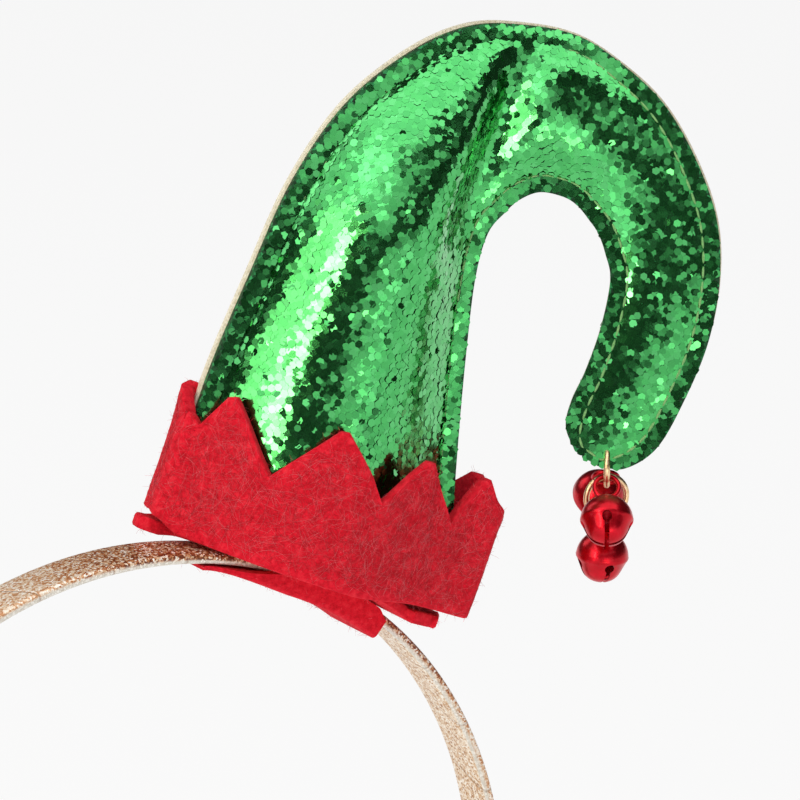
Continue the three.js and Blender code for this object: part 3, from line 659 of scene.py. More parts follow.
def panel_columns(along, side):
    """Distances in from the outer edge: a few over each flange, more over the dome between."""
    length = row_length(along)
    flange = flange_width(length)
    lip = np.zeros_like(length)
    if side == BACK:
        trim = TIP_TRIM * smooth_step(along, *TRIM_ROWS)
        lip = BACK_LIP * (1 - smooth_step(along, *LIP_ENDS)) - trim
    edge = np.linspace(0, 1, FLANGE_COLUMNS)
    dome = np.linspace(0, 1, DOME_COLUMNS)[1:-1]
    outer, inner = edge * (flange + lip) - lip, length - flange + edge * flange
    return np.concatenate([outer, flange + dome * (length - 2 * flange), inner], 1)


def panel_piece(name, side, rim):
    """A panel as a closed slab: outer skin, inner skin and the cut edge in the rim's material."""
    along = np.linspace(0, LAST_ROW, PANEL_ROWS)[:, None]
    inward = panel_columns(along, side)
    wall = panel_form(along, inward, side)[-1]
    skin, inside = [panel_skin(along, inward, side, lift) for lift in (0.0, -wall)]
    return make_piece(name, np.concatenate([skin, inside]), slab_faces(*skin.shape[:2]), [film_and_flake_shade, backing],
                      "headband", sharp_degrees=50, indices=[0, 1, rim])


hat_front = panel_piece("hat_front_cloth", FRONT, rim=0)
hat_back = panel_piece("hat_back_cloth", BACK, rim=1)
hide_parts("hat_front")
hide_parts("hat_back")

# %% [markdown]
# The glitter is chunky: six-sided foil flakes a bit over a millimetre across, lying roughly flat
# and overlapping like scales. Each flake is a real thin plate, because mirrors at slightly
# different tilts are what the eye reads as glitter, and no bump map gives that. Most lie almost
# flat and a few are tipped; the sloping edge round each takes the dark film finish, painted shade
# that draws the fine shadow lines between them. They are spread evenly by a low-discrepancy
# sequence over equal areas of the skin.

# %% Glitter flakes
FLAKE_SIDES = 6
FLAKE_RADIUS = 0.6 * MM
FLAKE_SPREAD = (0.9, 1.1)
FLAKE_THICK = 0.07 * MM
FLAKE_TOP = 0.88
FLAKE_TILT = math.radians(1.7)
LOOSE_TILT = math.radians(8)
LOOSE_SHARE = 0.07
FLAKE_LIFT = (0.04 * MM, 0.26 * MM)
FLAKES_PER_MM2 = 1.8
FLAKE_MARGIN = 0.45 * MM
LEAST_ROW = 0.1 * MM
SAMPLE_ROWS = 300
SAMPLE_COLUMNS = 120
SKIN_STEP = 0.2 * MM
ROW_STEP = 0.02
PLASTIC_STEPS = (0.7548776662466927, 0.5698402909980532)

foil, tree = new_material("green polyester foil, die cut flakes")
tone = add_node(tree, "Attribute", attribute_name="tone").outputs["Fac"]
finish_material(tree, {
    "Base Color": add_node(tree, "ValToRGB", {"Fac": tone}, [
        (0.0, "#2CAC4E"), (0.5, "#38BC56"), (1.0, "#4CC668")]),
    "Metallic": 1.0, "Roughness": 0.13, "Coat Weight": 1.0, "Coat Roughness": 0.12, "Coat IOR": 1.6})


def even_spread(count, start):
    """Points spread evenly over the unit square: multiples of 1/p and 1/p**2, p the plastic number."""
    number = np.arange(count) + start
    return np.stack([(0.5 + number * step) % 1 for step in PLASTIC_STEPS], -1)


def flake_room(along):
    """Width of a row between the margins that flakes keep to its edges."""
    return np.maximum(row_length(along) - 2 * FLAKE_MARGIN, LEAST_ROW)


def spread_over_panel(side, count, start):
    """Positions along and in from the edge with equal numbers of points on equal areas of skin."""
    along = np.linspace(0, LAST_ROW, SAMPLE_ROWS)[:, None]
    inward = FLAKE_MARGIN + np.linspace(0, 1, SAMPLE_COLUMNS) * flake_room(along)
    area = grid_area(panel_skin(along, inward, side))
    rows_sum = np.concatenate([[0], np.cumsum(area.sum(1))])
    spread = even_spread(count, start)
    row = np.interp(spread[:, 0], rows_sum / rows_sum[-1], np.arange(SAMPLE_ROWS))
    cell = np.clip(row.astype(int), 0, SAMPLE_ROWS - 2)
    across_sum = np.concatenate([np.zeros((SAMPLE_ROWS - 1, 1)), np.cumsum(area, 1)], 1)
    across_sum = across_sum / across_sum[:, -1:]
    column = np.clip((across_sum[cell] < spread[:, 1:2]).sum(1) - 1, 0, SAMPLE_COLUMNS - 2)
    low = across_sum[cell, column]
    high = across_sum[cell, column + 1]
    fine = column + (spread[:, 1] - low) / np.maximum(high - low, 1e-9)
    at = row / (SAMPLE_ROWS - 1) * LAST_ROW
    return at, FLAKE_MARGIN + fine / (SAMPLE_COLUMNS - 1) * flake_room(at), area.sum()


def skin_axes(along, inward, side, lift):
    """Points on the skin with two surface directions and the outward normal, by small steps."""
    here, beyond, before = [panel_skin(along, inward + step, side, lift)
                            for step in (0, SKIN_STEP, -SKIN_STEP)]
    over = unit(beyond - before)
    ahead = panel_skin(np.minimum(along + ROW_STEP, LAST_ROW), inward, side, lift)
    behind = panel_skin(np.maximum(along - ROW_STEP, 0), inward, side, lift)
    normal = unit(np.cross(over, ahead - behind)) * side
    return here, over, np.cross(normal, over), normal


def turned_axes(over, other, normal, rng, tilt):
    """Axes turned at random about the normal and tipped by random angles of the given spread."""
    count = len(over)
    spin = rng.uniform(0, 2 * np.pi, count)[:, None]
    first = over * np.cos(spin) + other * np.sin(spin)
    second = np.cross(normal, first)
    lean = rng.normal(0, 1, (count, 2)) * tilt[:, None]
    tipped = unit(normal + first * lean[:, :1] + second * lean[:, 1:])
    first = unit(first - tipped * (first * tipped).sum(1, keepdims=True))
    return first, np.cross(tipped, first), tipped


def flake_piece(name, side, seed):
    """Six-sided plates on a panel, each a tube of two rings: foil above and below, dark film on its edge as
    painted shade.
    """
    rng = np.random.default_rng(seed)
    total_area = spread_over_panel(side, 1, 0)[-1]
    count = int(total_area / MM ** 2 * FLAKES_PER_MM2)
    along, inward, _ = spread_over_panel(side, count, seed)
    centre, over, other, normal = skin_axes(along, inward, side, rng.uniform(*FLAKE_LIFT, count))
    tilt = np.where(rng.uniform(0, 1, count) < LOOSE_SHARE, LOOSE_TILT, FLAKE_TILT)
    first, second, tipped = turned_axes(over, other, normal, rng, tilt)
    radius = FLAKE_RADIUS * rng.uniform(*FLAKE_SPREAD, count)[:, None] * [FLAKE_TOP, 1]
    rings = centre[:, None] + tipped[:, None] * np.array([[0.5], [-0.5]]) * FLAKE_THICK
    points = tube_points(rings, first[:, None], second[:, None], radius[..., None, None], FLAKE_SIDES)
    # Painted shade: the flake walls take the dark film finish to draw the shadow lines between flakes.
    piece = make_piece(name, points, tube_faces(count, 2, FLAKE_SIDES), [foil, film_and_flake_shade], "headband",
                       smooth=False, indices=[1, 0])
    add_values(piece, "tone", np.repeat(rng.uniform(0, 1, count), 2 * FLAKE_SIDES))


flake_piece("hat_front_flakes", FRONT, 11)
flake_piece("hat_back_flakes", BACK, 23)

# %% [markdown]
# One row of machine stitches holds the two panels together just where the flange meets the
# stuffed part. Each stitch is a short plump thread that dips into the cloth at both ends. Low on
# the outer side the full stuffing pulls the thread down between the flakes.

# %% Stitches
STITCH_LENGTH = 1.75 * MM
STITCH_PITCH = 2.25 * MM
STITCH_RADIUS = 0.2 * MM
STITCH_LIFT = 0.22 * MM
STITCH_SUNK = 0.35 * MM
STITCH_DIP = 1.2
STITCH_ENDS = (0.04, 0.96)
STITCH_RINGS = 6
STITCH_SIDES = 6
SUNK_ROWS = (8, 10)
SEAM_ROWS = (0.12, LAST_ROW - 0.6)
SEAM_POINTS = 900
THREAD_FUZZ = 0.15 * MM

thread = grained_material(
    "pale green polyester thread, spun", THREAD_FUZZ, [(0.3, "#56964C"), (0.7, "#8FBF78")],
    {"Roughness": 0.7, "Sheen Weight": 0.2})


def stitch_line(side):
    """The seam's path and normals: up the outer edge to the tip and back down the inner, a flange in."""
    along = np.linspace(*SEAM_ROWS, SEAM_POINTS)
    length = row_length(along)
    flange = flange_width(length)
    sunk = STITCH_SUNK * (1 - smooth_step(along, *SUNK_ROWS))
    rise = skin_axes(along, flange, side, STITCH_LIFT - sunk)
    back = skin_axes(along[::-1], (length - flange)[::-1], side, STITCH_LIFT)
    return np.concatenate([rise[0], back[0]]), np.concatenate([rise[-1], back[-1]])


def stitch_piece(name, side):
    """Threads at equal steps along the seam: rings round each thread, thin at its two ends."""
    path, normals = stitch_line(side)
    distance = path_distance(path)
    starts = np.arange(0, distance[-1] - STITCH_LENGTH, STITCH_PITCH)
    share = np.linspace(0, 1, STITCH_RINGS)
    at = starts[:, None] + share * STITCH_LENGTH
    middle = read_along(at, distance, path)
    above = unit(read_along(at, distance, normals))
    aside = np.cross(unit(np.gradient(middle, axis=1)), above)
    plump = np.sin(np.pi * np.clip(share, *STITCH_ENDS))[:, None] ** 0.5
    middle = middle - above * (STITCH_RADIUS * (STITCH_DIP - plump))
    points = tube_points(middle, aside, above, STITCH_RADIUS * plump[..., None], STITCH_SIDES)
    make_piece(name, points, tube_faces(len(starts), STITCH_RINGS, STITCH_SIDES), [thread], "headband")


stitch_piece("hat_front_stitches", FRONT)
stitch_piece("hat_back_stitches", BACK)

# %% [markdown]
# Felt is pressed wool or polyester fibre: no weave, a soft matt red with a mottled nap, slightly
# rounded at its cut edges, and loose hairs standing off it. The sheets are closed surfaces, and
# the loose hairs are real, because they show against the glitter and the pale background.

# %% Felt finish
NAP = 1.1 * MM
NAP_DEPTH = 0.4 * MM
FIBRE = 0.25 * MM
FIBRE_DEPTH = 0.2 * MM

felt, tree = new_material("red felt, pressed fibre")
place = add_node(tree, "TexCoord").outputs["Object"]
nap = add_node(tree, "TexNoise", {"Vector": place, "Scale": 1 / NAP, "Detail": 6.0, "Roughness": 0.7})
fibre = add_node(tree, "TexNoise", {"Vector": place, "Scale": 1 / FIBRE, "Detail": 3.0})
fibre_relief = add_node(tree, "Bump", {"Height": fibre, "Strength": 0.55, "Distance": FIBRE_DEPTH})
finish_material(tree, {
    "Base Color": add_node(tree, "ValToRGB", {"Fac": nap}, [
        (0.3, "#B6091B"), (0.5, "#DA162C"), (0.72, "#EC3341")]),
    "Roughness": 1.0, "Specular IOR Level": 0.15,
    "Sheen Weight": 0.12, "Sheen Roughness": 0.6, "Sheen Tint": linear("#F08080"),
    "Normal": add_node(tree, "Bump", {
        "Height": nap, "Strength": 0.5, "Distance": NAP_DEPTH, "Normal": fibre_relief})})

hair, tree = new_material("loose felt fibre, pale red")
strand = add_node(tree, "Attribute", attribute_name="tone").outputs["Fac"]
finish_material(tree, {
    "Base Color": add_node(tree, "ValToRGB", {"Fac": strand}, [
        (0.0, "#C01426"), (0.6, "#D8303E"), (1.0, "#EA8088")]),
    "Roughness": 0.8, "Specular IOR Level": 0.2})
print("finishes:", felt.name, "and", hair.name)

# %% [markdown]
# The cuff is a felt strip wrapped round the foot of the hat, its upper edge cut to points by hand.
# It stands straight up from the foot while the hat narrows inside it, and hangs past the hat to the
# level of the band. Its upper edge runs straight between the corners of the cut, read along the
# strip, with the points snipped blunt and leaning out a little. In front it hangs lowest; at the
# left it is raised over the tab of the foot.

# %% Cuff
CUFF_CUT = MM * np.array([
    (5, 22), (14, 12), (22, 22.5), (31, 13.5),
    (38.5, 22), (47.5, 13.5), (51.5, 22), (57.5, 15.5),
    (64, 21.5), (72.5, 12.5), (81, 21.5), (89, 12.5),
    (97, 21.5), (105, 12.5), (113, 21.5), (119, 15.5),
])
TOOTH_TALLEST = CUFF_CUT[:, 1].max()
CUFF_GAP = 0.5 * MM
CUFF_STATIONS = 620
CUFF_LEVELS = 18
CUFF_LEVEL_ENDS = (0.06, 0.94)
CUFF_LEFT_RISE = 1 * MM
CUFF_RISE = (-17.5 * MM, -12 * MM)
CUFF_HANG = 1.1 * MM
HANG_FADE = (4 * MM, 18 * MM)
FRONT_TURN = (0.5 * MM, 4 * MM)
POINT_BLUNT = 0.6 * MM
POINT_LEAN = 0.4 * MM
POINT_LEAN_FROM = 11 * MM
LOOP_SIDE_STEPS = 300
LOOP_END_STEPS = 24
LOOP_SMOOTHING = 10
CUFF_WAVE = 0.16 * MM
CUFF_WAVES = 17
CUFF_WAVE_SLANT = 4
CUT_ROUND = 0.25 * MM
CUT_EDGE = 0.86


def loop_spot(share, face):
    """The loop just outside the hat's foot: share runs left to right, face from front to back."""
    foot = np.zeros_like(share)
    length = row_length(foot)
    inward = share * (length + 2 * CUFF_GAP) - CUFF_GAP
    _, _, bulge, wall = panel_form(foot, np.clip(inward, 0, length), BACK)
    return np.stack([PATTERN[0, OUTER_ACROSS] + inward, face * (CLEAR / 2 + bulge + wall + CUFF_GAP)], -1)


def taut(along, out):
    """A strip pulled tight over a bump: a straight run from each end to where it first touches."""
    for _ in range(2):
        steepness = (out[1:] - out[0]) / (along[1:] - along[0])
        touch = np.argmax(steepness) + 1
        pulled = out[0] + (along - along[0]) * steepness[touch - 1]
        out = np.where(np.arange(len(out)) < touch, pulled, out)[::-1]
        along = along[-1] + along[0] - along[::-1]
    return out


def even_loop():
    """Evenly spaced stations round the loop, pulled taut, and the cut's corners: spots and distances."""
    side = loop_spot(np.linspace(0, 1, LOOP_SIDE_STEPS), 1)
    side[:, 1] = taut(side[:, 0], side[:, 1])
    end = np.linspace(-1, 1, LOOP_END_STEPS)[1:-1, None]
    right_end = side[-1] * np.concatenate([np.ones_like(end), end], 1)
    left_end = side[0] * np.concatenate([np.ones_like(end), -end], 1)
    spots = np.concatenate([side * [1, -1], right_end, side[::-1], left_end, side[:1] * [1, -1]])
    distance = path_distance(spots)
    stations = np.union1d(np.linspace(0, distance[-1], CUFF_STATIONS, endpoint=False), CUFF_CUT[:, 0])
    return read_along(stations, distance, spots), stations, distance[-1]


loop_inner, loop_round, loop_length = even_loop()
loop_way = unit(np.roll(loop_inner, -1, 0) - np.roll(loop_inner, 1, 0))
loop_out = np.stack([loop_way[:, 1], -loop_way[:, 0]], -1)
for _ in range(LOOP_SMOOTHING):
    loop_out = unit(loop_out + np.roll(loop_out, 1, 0) + np.roll(loop_out, -1, 0))
cut_line, before, after = [np.interp(loop_round + shift, *CUFF_CUT.T, period=loop_length)
                           for shift in (0, -POINT_BLUNT, POINT_BLUNT)]
cuff_top = np.minimum(cut_line, (before + after) / 2)
in_front = smooth_step(-loop_inner[:, 1], *FRONT_TURN)
at_left = 1 - smooth_step(loop_inner[:, 0], *CUFF_RISE)
hang = CUFF_HANG * (1 - smooth_step(loop_inner[:, 0], *HANG_FADE))
cuff_bottom = CUFF_LEFT_RISE * at_left * (1 - in_front) - hang * in_front


def round_cuff(distance, *values):
    """Values known at the cuff's stations, each read at any distance round it."""
    return [np.interp(distance, loop_round, value, period=loop_length) for value in values]


def cuff_at(distance, level, off):
    """Points at distances round the cuff, level 0 to 1 from bottom to cut edge, off its inner face."""
    bottom, top = round_cuff(distance, cuff_bottom, cuff_top)
    height = bottom + (top - bottom) * level
    lean = POINT_LEAN * (np.maximum(height - POINT_LEAN_FROM, 0) / (TOOTH_TALLEST - POINT_LEAN_FROM)) ** 2
    turns = distance / loop_length * CUFF_WAVES * 2 * np.pi
    wave = CUFF_WAVE * (1 + np.sin(turns + CUFF_WAVE_SLANT * level))
    out = off + lean + wave * level
    across, lift, out_across, out_lift = round_cuff(distance, *loop_inner.T, *loop_out.T)
    return on_sheet(across + out_across * out, height - HAT_FOOT, lift + out_lift * out)


edge_level = CUT_ROUND / TOOTH_TALLEST
levels = np.concatenate([[0, edge_level], np.linspace(*CUFF_LEVEL_ENDS, CUFF_LEVELS), [1 - edge_level, 1]])
depths = np.concatenate([[CUT_EDGE], np.ones(CUFF_LEVELS + 2), [CUT_EDGE]])
outer_side, inner_side = [cuff_at(loop_round[:, None], levels[None], FELT * depth)
                          for depth in (depths, 1 - depths)]
cuff_grid = np.concatenate([outer_side, inner_side[:, ::-1]], 1)
cuff_faces = grid_faces(*cuff_grid.shape[:2], close_rows=True, close_columns=True)
cuff = make_piece("cuff_felt", cuff_grid, [cuff_faces], [felt], "headband", sharp_degrees=60)
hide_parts("cuff")
print("cuff strip mm", round(loop_length / MM, 1))

# %% [markdown]
# The foot is a tongue of the same felt under the hat. It is bent with the band where it is glued
# on, and once it has dropped below the cuff it may be as wide as the cuff; a narrow tab towards
# the back sticks out at the left. The plate is a grid over its length and width with the felt's
# thickness between.

# %% Foot
BASE_LEFT = -27 * MM
BASE_RIGHT = 22.5 * MM
BASE_DROP = 2.9 * MM
BASE_TAB_DROP = 2.3 * MM
BASE_TAB_FRONT = 1 * MM
BASE_TAB_BACK = 4.6 * MM
BASE_TAB_ROUND = 3 * MM
BASE_TAB_LEAST = 0.1
BASE_EDGE_PRESSED = 0.35 * MM
BASE_ROWS = 150
BASE_COLUMNS = 24
FOOT_LENGTH = row_length(np.zeros(1))[0]


def base_drop(distance):
    """How far the foot hangs below its highest place: the band's own circle, down to a limit."""
    radius = BAND_INNER_RADIUS + BAND_THICK + CLEAR
    lowest = np.where(distance < 0, BASE_TAB_DROP, BASE_DROP)
    return np.minimum(radius - np.sqrt(radius ** 2 - distance ** 2), lowest)


def base_edge(across, face):
    """The foot's edge at the front or back: inside the cuff, or out beyond it once it has dropped."""
    share = (across - PATTERN[0, OUTER_ACROSS] + CUFF_GAP) / (FOOT_LENGTH + 2 * CUFF_GAP)
    reach = loop_spot(share, 1)[:, 1]
    widest = np.where(across < 0, BASE_TAB_FRONT if face == FRONT else BASE_TAB_BACK, reach + FELT)
    clear_of_cuff = np.where(across < 0, HAT_FOOT - CUFF_LEFT_RISE, HAT_FOOT)
    drops = [base_drop(plan_spot(across, face * lift)[0] + HAT_SHIFT) for lift in (reach, widest)]
    beyond = smooth_step(np.minimum(*drops), clear_of_cuff, clear_of_cuff + 2 * CLEAR)
    return face * ((reach - CLEAR) * (1 - beyond) + widest * beyond)


def from_edge(count):
    """Steps of a row of places from its nearer end."""
    return np.minimum(np.arange(count), np.arange(count)[::-1])


base_across = np.linspace(BASE_LEFT, BASE_RIGHT, BASE_ROWS)
base_front, base_back = base_edge(base_across, FRONT), base_edge(base_across, BACK)
into_tab = np.clip(1 - (base_across - BASE_LEFT) / BASE_TAB_ROUND, 0, 1)
tab_half = (base_back - base_front) / 2 * np.sqrt(np.maximum(1 - into_tab ** 2, BASE_TAB_LEAST))
base_lift = (base_front + base_back)[:, None] / 2 + tab_half[:, None] * np.linspace(-1, 1, BASE_COLUMNS)
base_u, base_v = plan_spot(base_across[:, None], base_lift)
base_level = -base_drop(base_u + HAT_SHIFT)
at_edge = np.minimum(from_edge(BASE_ROWS)[:, None], from_edge(BASE_COLUMNS)) == 0
pressed_edge = BASE_EDGE_PRESSED * at_edge
base_grids = [stood_on_band(base_u, base_v, base_level + FELT - pressed_edge),
              stood_on_band(base_u, base_v, base_level + pressed_edge)]
base_felt = make_piece("base_felt_plate", np.concatenate(base_grids), slab_faces(BASE_ROWS, BASE_COLUMNS),
                       [felt], "headband", sharp_degrees=60)
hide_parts("base_felt")

# %% [markdown]
# A second strip is glued under the band: a floor along its inner face and two sides that wrap up
# its edges. At the left it thins out, flush with the band in front and cut to a point from the
# back; at the right it is cut straight. Each cross section is a flat-bottomed U, drawn once outside
# and once inside and carried round the band's bend.

# %% Under strip
PATCH_FROM = math.radians(10.5)
PATCH_TO = math.radians(40.6)
PATCH_POINT = 1.4 * MM
PATCH_POINT_NARROWEST = 0.25
PATCH_FLUSH = (1 * MM, 9 * MM)
PATCH_SIDE_RISE = (5 * MM, 22 * MM)
PATCH_TIP_THIN = 0.25
PATCH_TIP_TAPER = 16 * MM
PATCH_CORNER = 2.5 * MM
PATCH_CORNER_SHARE = 0.55
PATCH_LEAST_SIDE = 0.1 * MM
PATCH_ROUND = 0.8 * MM
PATCH_INNER_ROUND = 0.02 * MM
PATCH_ROWS = 110
PATCH_SIDE_POINTS = 7


def between(low, share):
    """A value that rises from low to one as a share runs from 0 to 1."""
    return low + (1 - low) * share


patch_top = BAND_INNER_RADIUS - CLEAR
patch_angle = np.linspace(PATCH_FROM, PATCH_TO, PATCH_ROWS)[:, None]
from_left = (patch_angle - PATCH_FROM) * patch_top
from_right = (PATCH_TO - patch_angle) * patch_top
into_point = np.clip(1 - from_left / PATCH_POINT, 0, 1)
back_narrow = between(PATCH_POINT_NARROWEST, np.sqrt(1 - into_point ** 2))
patch_inside = BAND_WIDTH / 2 + CLEAR
front_narrow = between(BAND_WIDTH / 2 / (patch_inside + FELT), smooth_step(from_left, *PATCH_FLUSH))
patch_thick = FELT * between(PATCH_TIP_THIN, smooth_step(from_left, 0, PATCH_TIP_TAPER))
side_corner = between(PATCH_CORNER_SHARE, smooth_step(from_right, 0, PATCH_CORNER))
side_rise = smooth_step(from_left, *PATCH_SIDE_RISE) * side_corner
side_height = PATCH_LEAST_SIDE + (BAND_THICK + CLEAR - PATCH_LEAST_SIDE) * side_rise


def patch_skin(half, floor, rounding):
    """One skin of the strip: up each side from a floor, with the corners between them rounded."""
    turn = np.linspace(0, np.pi / 2, PATCH_SIDE_POINTS)[None]
    rise = (patch_top + side_height - floor - rounding) * np.linspace(1, 0, PATCH_SIDE_POINTS)[None, :-1]
    inward = np.linspace(1, 0, PATCH_SIDE_POINTS)[None, 1:]
    each_row = np.zeros_like(patch_angle)
    y = np.concatenate([
        np.full_like(rise, half), half - rounding * (1 - np.cos(turn)) + each_row,
        (half - rounding) * inward + each_row], 1)
    radius = np.concatenate([
        floor + rounding + rise, floor + rounding * (1 - np.sin(turn)) + each_row,
        floor + 0 * inward + each_row], 1)
    y = np.concatenate([y * back_narrow, -y[:, -2::-1] * front_narrow], 1)
    radius = np.concatenate([radius, radius[:, -2::-1]], 1)
    return np.stack([radius * np.sin(patch_angle), y, radius * np.cos(patch_angle) - BAND_INNER_RADIUS], -1)


patch_under = patch_skin(patch_inside + FELT, patch_top - patch_thick, PATCH_ROUND)
patch_over = patch_skin(patch_inside, patch_top, PATCH_INNER_ROUND)
under_patch = make_piece("under_patch_felt", np.concatenate([patch_under, patch_over]),
                         slab_faces(*patch_under.shape[:2]), [felt], "headband", sharp_degrees=60)
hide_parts("under_patch")

# %% [markdown]
# Felt shows its fibres. Most lie pressed into the face as long, gently curving pale lines, so the
# cuff gets two layers of several thousand that follow its surface; a short fuzz stands off every
# face and blurs the cut edges. Each fibre is a thin three-sided strand round a path.

# %% Felt fibres
STRAND_SIDES = 3
STRAND_END = 0.4
STRAND_ASIDE = np.array([0.31, 0.53, 0.79])
PRESSED_LAYERS = 2
PRESSED_COUNT = 7400
PRESSED_RINGS = 6
PRESSED_RADIUS = 0.02 * MM
PRESSED_LENGTHS = (1.2 * MM, 4.5 * MM)
PRESSED_BEND = 0.3 / MM
PRESSED_LIFT = 0.09 * MM
PRESSED_LIFTS = (0.2, 1)
FUZZ_RINGS = 4
FUZZ_RADIUS = 0.022 * MM
FUZZ_STAND = 0.5
FUZZ_BEND = 0.5
FUZZ_SHAPE = 2.0
FUZZ = [
    # name, piece it stands on, fibres, seed, mean length
    ("cuff_fuzz", cuff, 6500, 4, 0.42 * MM),
    ("base_fuzz", base_felt, 1500, 5, 0.5 * MM),
    ("patch_fuzz", under_patch, 1200, 7, 0.45 * MM),
]


def strand_piece(name, path, radius):
    """Thin strands: a ring of points round every place on each path, narrowing to the far end."""
    count, rings = path.shape[:2]
    way = unit(np.gradient(path, axis=1))
    aside = unit(np.cross(way, STRAND_ASIDE))
    thin = radius * np.linspace(1, STRAND_END, rings)[:, None, None]
    points = tube_points(path, aside, np.cross(way, aside), thin, STRAND_SIDES)
    piece = make_piece(name, points, tube_faces(count, rings, STRAND_SIDES), [hair], "headband")
    add_values(piece, "tone", np.repeat(even_spread(count, 1)[:, 0], rings * STRAND_SIDES))


def faces_spread(piece, count, rng):
    """Random points on a piece's faces with their normals, by area."""
    points, triangles = mesh_triangles(piece.data)
    corner = points[triangles]
    cross = np.cross(corner[:, 1] - corner[:, 0], corner[:, 2] - corner[:, 0])
    area = np.linalg.norm(cross, axis=1)
    pick = rng.choice(len(area), count, p=area / area.sum())
    a, b = np.sqrt(rng.uniform(0, 1, count))[:, None], rng.uniform(0, 1, count)[:, None]
    first, second, third = corner[pick].swapaxes(0, 1)
    return first * (1 - a) + second * a * (1 - b) + third * a * b, unit(cross[pick])


def fuzz_piece(name, piece, count, seed, typical):
    """Short fibres rooted on a piece: each leaves near the normal and bends aside."""
    rng = np.random.default_rng(seed)
    root, normal = faces_spread(piece, count, rng)
    length = rng.gamma(FUZZ_SHAPE, typical / FUZZ_SHAPE, count)[:, None, None]
    start = unit(normal * FUZZ_STAND + unit(rng.normal(0, 1, (count, 3))))[:, None]
    bend = unit(rng.normal(0, 1, (count, 3)))[:, None]
    share = np.linspace(0, 1, FUZZ_RINGS)[None, :, None]
    strand_piece(name, root[:, None] + length * (start * share + FUZZ_BEND * bend * share ** 2), FUZZ_RADIUS)


def pressed_piece(name, count, seed):
    """Long fibres on the cuff's outer face: arcs drawn on the flat strip, then laid on the cuff."""
    rng = np.random.default_rng(seed)
    share = np.linspace(0, 1, PRESSED_RINGS)[None]
    run = share * rng.uniform(*PRESSED_LENGTHS, count)[:, None]
    heading = rng.uniform(0, 2 * np.pi, count)[:, None] + run * rng.normal(0, PRESSED_BEND, count)[:, None]
    step = np.diff(run, axis=1, prepend=0)
    distance = rng.uniform(0, loop_length, count)[:, None] + np.cumsum(step * np.cos(heading), 1)
    height = rng.uniform(0, TOOTH_TALLEST, count)[:, None] + np.cumsum(step * np.sin(heading), 1)
    bottom, top = round_cuff(distance, cuff_bottom, cuff_top)
    level = (height - bottom) / (top - bottom)
    inside = ((level > 0) & (level < 1)).all(1)
    off = FELT + PRESSED_LIFT * np.sin(np.pi * share) * rng.uniform(*PRESSED_LIFTS, count)[:, None]
    strand_piece(name, cuff_at(distance, level, off)[inside], PRESSED_RADIUS)


for layer in range(PRESSED_LAYERS):
    pressed_piece(f"cuff_fibres_{layer + 1}", PRESSED_COUNT, 3 + 10 * layer)
for fuzz_row in FUZZ:
    fuzz_piece(*fuzz_row)

# %% [markdown]
# Rings and bells hang from a hole in the tip. They are placed in the hole's own frame, right,
# back and up as the hook faces.

# %% Places of rings and bells
HOLE_ACROSS = 38 * MM
HOLE_HEIGHT = 28.8 * MM
RING_WIRE = 0.47 * MM
TIP_RING_RADIUS = 2.83 * MM
BELL_RING_RADIUS = 3.2 * MM
BELL_RING_TURN = math.radians(20)
WIRE_SEAT = -0.1 * MM
LINK_GAP = 0.35 * MM
BELL_RADIUS = 4 * MM
LOOP_RADIUS = 1.83 * MM
LOOP_WIRE = 0.37 * MM
LOOP_SINK = 0.55 * MM
BELL_HANG = BELL_RADIUS + 2 * LOOP_RADIUS - LOOP_SINK - RING_WIRE - LINK_GAP
BELL_SPLAY = math.radians(44)
REAR_LEAN = math.radians(-10)
LOW_LEAN = math.radians(-5)
RIGHTWARD, BACKWARD, UPWARD = np.eye(3)

hole_centre = on_sheet(HOLE_ACROSS, HOLE_HEIGHT, 0.0)
hole_way = on_sheet(HOLE_ACROSS, HOLE_HEIGHT, MM) - hole_centre
back_way = unit(hole_way * [1, 1, 0])
DROP_AXES = np.stack([np.cross(back_way, UPWARD), back_way, UPWARD])


def in_drop(points):
    """Points of the hole's frame in the part's frame."""
    return hole_centre + points @ DROP_AXES


tip_ring_centre = -UPWARD * (TIP_RING_RADIUS + WIRE_SEAT)
ring_drop = TIP_RING_RADIUS - 2 * RING_WIRE - LINK_GAP + BELL_RING_RADIUS
bell_ring_centre = tip_ring_centre - UPWARD * ring_drop
print("hole at", hole_centre)

# %% [markdown]
# A jump ring is a ring of polished, gold plated wire with a fine cut in it. Handling leaves faint
# patches on the plating, duller in some places than in others.

# %% Rings
GOLD_PATCH = 0.8 * MM
GOLD_ROUGH = (0.2, 0.38)
RING_STATIONS = 120
RING_SECTION = 20
RING_CUT = 0.14 * MM
TIP_CUT_AT = 0.5
BELL_CUT_AT = 2.2

gold, tree = new_material("gold plated wire, polished")
place = add_node(tree, "TexCoord").outputs["Object"]
wear = add_node(tree, "TexNoise", {"Vector": place, "Scale": 1 / GOLD_PATCH, "Detail": 3.0})
finish_material(tree, {
    "Base Color": add_node(tree, "ValToRGB", {"Fac": wear}, [(0.3, "#E2B886"), (0.7, "#F8DEB6")]),
    "Metallic": 1.0,
    "Roughness": add_node(tree, "MapRange", {
        "Value": wear, "To Min": GOLD_ROUGH[0], "To Max": GOLD_ROUGH[1]})})


def bent_wire(around, radius, wire, first, centre, sides):
    """Round wire bent to a circle in the upright plane of a direction, at angles round it."""
    out = np.cos(around)[:, None] * first + np.sin(around)[:, None] * UPWARD
    return tube_points(centre + out * radius, out, np.cross(first, UPWARD), wire, sides)


